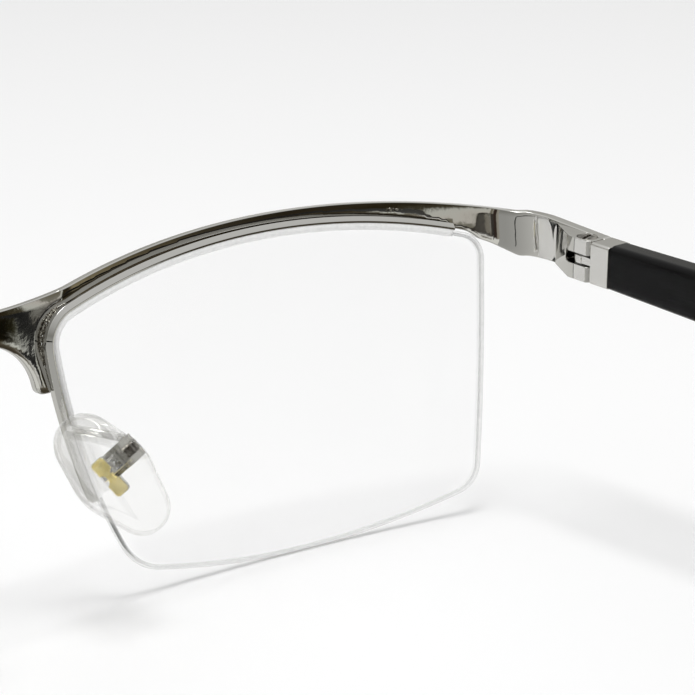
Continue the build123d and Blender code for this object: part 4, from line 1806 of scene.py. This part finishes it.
# ---------------------------------------------------------------- studio
@dataclass
class Studio:
    """White sweep under a wide soft light, and the camera behind the wearer's right shoulder.

    Each row of the card holds a height in metres and the colours along its arc, by angle in degrees; these
    colours glow and are painted reflections, which only the polished metal and the lenses show.
    """

    azimuth_deg: float = 41.0
    elevation_deg: float = 17.5
    distance_mm: float = 380.0
    focal_px: float = 3458.0
    frame_px: float = 695.0
    sensor_mm: float = 36.0
    aim: Vector = field(default_factory=lambda: Vector((-39.2, -74.0663, 17.4)))
    aim_px: Point = (275.0, 390.0)
    floor_colour: str = "F4F4F4"
    floor_roughness: float = 0.6
    floor_specular: float = 0.1
    floor_half: float = 6.0
    backdrop: str = "F9F9F9"
    dome: float = 0.6
    room_behind: float = 0.6
    room_fades: Point = (-0.2, 0.9)
    room: Stops = (
        (0.0, "EDEDEB"), (0.48, "DEDEDB"), (0.52, "D0D0CC"), (0.62, "B4B3AE"), (0.8, "E6E6E4"),
        (1.0, "FFFFFF"),
    )
    softbox_watts: float = 2.7
    softbox_size: float = 0.32
    softbox_place: Triple = (0.0, -0.05, 0.7)
    softbox_aim: Triple = (0.0, -0.02, 0.0)
    card_radius: float = 0.25
    card_centre_y: float = -0.07
    card_ripple_deg: float = 1.2
    card_ripple_scale: float = 130.0
    card_low: float = -0.08
    card_high: float = 0.12
    card_steps: int = 24
    card_span_deg: Point = (4.0, 88.0)
    # Glow strength of the painted reflection stripes.
    card_shine: float = 1.7
    # Painted reflections: the dark and light stripes that the metal and the lenses mirror, row by row.
    card_rows: tuple[tuple[float, Stops], ...] = (
        (-0.040, (
            (4.0, "C4C4C0"), (19.0, "C4C4C0"), (20.0, "3A342A"), (46.0, "3A342A"), (49.0, "B4B5B0"),
            (90.0, "B4B5B0"),
        )),
        (-0.022, (
            (4.0, "C4C4C0"), (19.0, "C4C4C0"), (20.0, "5A564E"), (30.0, "4A4438"), (46.0, "2E281E"),
            (58.0, "4A4336"), (90.0, "5A564C"),
        )),
        (-0.0065, (
            (4.0, "C5C5C2"), (25.6, "C5C5C2"), (26.0, "675F56"), (26.9, "5C594A"), (27.3, "B7B8B2"),
            (28.5, "B7B8B2"), (30.0, "2A2519"), (90.0, "2A2519"),
        )),
        (0.0005, (
            (4.0, "8A867E"), (9.0, "7A766E"), (10.0, "2E2520"), (16.0, "2E2520"), (17.0, "6A665E"),
            (20.0, "3A362F"), (25.3, "1A150F"), (26.0, "3D3832"), (26.5, "120C08"), (27.1, "0E0906"),
            (27.4, "A0A0A0"), (28.1, "686963"), (28.6, "6A6B65"), (29.2, "23210F"), (29.7, "090804"),
            (90.0, "1A1713"),
        )),
        (0.016, (
            (4.0, "8A867E"), (9.0, "7A766E"), (10.0, "2E2520"), (16.0, "2E2520"), (17.0, "8A867E"),
            (20.0, "5C574A"), (23.0, "6F6D65"), (23.6, "A8A49E"), (25.9, "A7A8A2"), (27.2, "3A362A"),
            (29.6, "221C10"), (32.2, "2A241A"), (36.0, "231E15"), (40.5, "322D23"), (44.0, "4A4334"),
            (47.5, "6A624E"), (51.5, "8A8169"), (54.5, "A89D80"), (57.5, "8C8067"), (62.0, "5A5040"),
            (90.0, "3E372C"),
        )),
    )

    def camera(self) -> None:
        """Adds the camera."""
        a, e = math.radians(self.azimuth_deg), math.radians(self.elevation_deg)
        ahead = Vector((-math.sin(a) * math.cos(e), -math.cos(a) * math.cos(e), -math.sin(e)))
        right = Vector((-math.cos(a), math.sin(a), 0))
        up = right.cross(ahead)
        half = self.frame_px / 2
        x = (self.aim_px[0] - half) / self.focal_px * self.distance_mm
        y = -(self.aim_px[1] - half) / self.focal_px * self.distance_mm
        data = bpy.data.cameras.new("catalogue camera")
        data.sensor_width = self.sensor_mm
        data.lens = self.focal_px / self.frame_px * self.sensor_mm
        data.clip_start, data.clip_end = 0.01, 50.0
        camera = new_object("catalogue camera", data)
        camera.location = (self.aim - (ahead * self.distance_mm + right * x + up * y)) * MM
        camera.rotation_euler = (-ahead).to_track_quat("Z", "Y").to_euler()
        bpy.context.scene.camera = camera

    def floor(self) -> None:
        """Adds the white table."""
        mesh = bpy.data.meshes.new("white_sweep")
        half = self.floor_half
        corners = [(-half, -half, 0), (half, -half, 0), (half, half, 0), (-half, half, 0)]
        mesh.from_pydata(corners, [], [(0, 1, 2, 3)])
        floor = new_object("white_sweep", mesh)
        material = bpy.data.materials.new("white painted board")
        material.use_nodes = True
        board = {"Base Color": linear(self.floor_colour), "Roughness": self.floor_roughness}
        board["Specular IOR Level"] = self.floor_specular
        feed(material.node_tree.nodes["Principled BSDF"], board)
        mesh.materials.append(material)
        floor.visible_glossy = False

    def card(self) -> None:
        """Adds the dark glowing card at the wearer's right, which only the polished metal and the lenses
        mirror: its stripes are painted reflections.
        """
        first, last = (math.radians(v) for v in self.card_span_deg)
        steps = self.card_steps
        turns = [first + (last - first) * i / steps for i in range(steps + 1)]
        points = [
            (-math.sin(turn) * self.card_radius, math.cos(turn) * self.card_radius + self.card_centre_y, z)
            for z in (self.card_low, self.card_high)
            for turn in turns
        ]
        mesh = bpy.data.meshes.new("dark_card")
        mesh.from_pydata(points, [], [(i, i + 1, steps + 2 + i, steps + 1 + i) for i in range(steps)])
        card = new_object("dark_card", mesh)
        mesh.materials.append(self._felt())
        # The card shows only in reflections: its colours are painted reflections, not a lamp.
        card.visible_camera = card.visible_diffuse = card.visible_shadow = card.visible_transmission = False

    def _felt(self) -> bpy.types.Material:
        """Builds the card's glowing stripes, painted reflections for the metal and the lenses: its rows of
        stripes run into each other and ripple a little.

        Returns:
            The painted reflections, glowing evenly.
        """
        material = bpy.data.materials.new("Brown and black felt")
        material.use_nodes = True
        tree = material.node_tree
        place = add_node(tree, "ShaderNodeTexCoord").outputs["Object"]
        folds = add_node(tree, "ShaderNodeTexNoise", {"Scale": self.card_ripple_scale, "Detail": 3.0, 0: place})
        spot = add_node(tree, "ShaderNodeSeparateXYZ", (place,)).outputs
        left = add_node(tree, "ShaderNodeMath", (spot["X"], -1.0), operation="MULTIPLY")
        back = add_node(tree, "ShaderNodeMath", (spot["Y"], self.card_centre_y), operation="SUBTRACT")
        angle = add_node(tree, "ShaderNodeMath", (left, back), operation="ARCTAN2")
        ripple = math.radians(self.card_ripple_deg)
        wavy = add_node(tree, "ShaderNodeMath", (folds, ripple, angle), operation="MULTIPLY_ADD")
        shade, below = None, 0.0
        for height, stops in self.card_rows:
            low, high = stops[0][0], stops[-1][0]
            ends = (math.radians(end + self.card_ripple_deg / 2) for end in (low, high))
            share = add_node(tree, "ShaderNodeMapRange", (wavy, *ends))
            stripes = [((at - low) / (high - low), colour) for at, colour in stops]
            row = add_node(tree, "ShaderNodeValToRGB", (share,), stripes).outputs[0]
            if shade is not None:
                lift = add_node(tree, "ShaderNodeMapRange", (spot["Z"], below, height))
                blend = {"Factor": lift, "A": shade, "B": row}
                row = add_node(tree, "ShaderNodeMix", blend, data_type="RGBA").outputs["Result"]
            shade, below = row, height
        # The stripes glow though the card is no lamp: painted reflections in the metal and the lenses.
        glow = add_node(tree, "ShaderNodeEmission", {"Strength": self.card_shine, 0: shade})
        feed(tree.nodes["Material Output"], {"Surface": glow})
        return material

    def light(self) -> None:
        """Adds the dome and the wide light overhead."""
        world = bpy.data.worlds.new("light tent")
        world.use_nodes = True
        tree = world.node_tree
        tree.nodes.clear()
        path = add_node(tree, "ShaderNodeLightPath").outputs
        straight_on = (path["Is Camera Ray"], path["Is Transmission Ray"])
        seen = add_node(tree, "ShaderNodeMath", straight_on, operation="MAXIMUM")
        sky = add_node(tree, "ShaderNodeTexCoord").outputs["Generated"]
        way = add_node(tree, "ShaderNodeSeparateXYZ", (sky,)).outputs
        rise = add_node(tree, "ShaderNodeMapRange", (way["Z"], -1.0, 1.0))
        height = add_node(tree, "ShaderNodeValToRGB", (rise,), self.room)
        behind = add_node(tree, "ShaderNodeMapRange", (way["Y"], *self.room_fades, 1.0, self.room_behind))
        room = add_node(tree, "ShaderNodeBackground", {"Color": height, "Strength": behind})
        dome = add_node(tree, "ShaderNodeBackground", {"Color": linear("FFFFFF"), "Strength": self.dome})
        lit = add_node(tree, "ShaderNodeMixShader", (path["Is Glossy Ray"], dome, room))
        plain = add_node(tree, "ShaderNodeBackground", {"Color": linear(self.backdrop), "Strength": 1.0})
        mix = add_node(tree, "ShaderNodeMixShader", (seen, lit, plain))
        add_node(tree, "ShaderNodeOutputWorld", {"Surface": mix})
        bpy.context.scene.world = world
        data = bpy.data.lights.new("overhead softbox", "AREA")
        data.shape = "SQUARE"
        data.size = self.softbox_size
        data.energy = self.softbox_watts
        lamp = new_object("overhead softbox", data)
        lamp.location = self.softbox_place
        away = Vector(self.softbox_place) - Vector(self.softbox_aim)
        lamp.rotation_euler = away.to_track_quat("Z", "Y").to_euler()

    def build(self) -> None:
        """Builds floor, lights and camera."""
        self.floor()
        self.card()
        self.light()
        self.camera()
        bpy.context.scene.view_settings.view_transform = "Standard"


def main() -> None:
    """Builds the eyeglasses piece by piece and sets the stage."""
    logging.basicConfig(level=logging.INFO, format="%(message)s")
    lens = LensShape()
    plated = PolishedNickelSilver("Buffed rhodium-plated nickel silver", "C8C7C3", 0.03).build()
    steel = TurnedSteel("Turned stainless screw steel", "A8A59E", 0.28).build()
    solder = SilverSolder("Set silver solder", "B4B1A8", 0.25).build()
    gold = StampedGold("Gilt stamped sheet", "FFF2AA", 0.32).build()
    nylon = MilkyNylon("Drawn clear nylon", "DCDCD8", 0.3).build()
    milky = {"cover": 0.8, "cover_varies": 0.04, "outline": 0.1, "shadow": "F6F6F6"}
    strip = MilkyNylon("Extruded milky nylon", "FFFFFE", 0.4, **milky).build()
    silicone = ClearSilicone("Moulded clear silicone", "FFFFFE", 0.1).build()
    acetate = BlackAcetate("Tumbled black acetate", "030303", 0.12).build()
    resin = {}
    for side in Side:
        ball = Vector((-side.sign * lens.ball.x, lens.ball.y, lens.ball.z))
        resin[side] = ClearResin(f"Cast lens resin {side.value}", "DADBDB", 0.5, ball=ball).build()
    BrowBar(lens).build(plated)
    LOG.info("brow bar built")
    sweep = EdgeSweep(lens)
    SolderSeams(lens).build(sweep, solder)
    LOG.info("solder seams built")
    rims = RimSet(lens)
    rims.metal(sweep, plated)
    LOG.info("rims built")
    rims.liner(sweep, strip)
    rims.cord(sweep, nylon)
    LOG.info("liners and cords built")
    rims.glass(resin)
    LOG.info("lenses built")
    Hinges().build(plated, steel, nylon)
    LOG.info("hinges built")
    Temples().build(acetate, plated, steel)
    LOG.info("temples built")
    NosePads().build(silicone, gold, plated, steel)
    LOG.info("nose pads built")
    Studio().build()


if __name__ == "__main__":
    main()
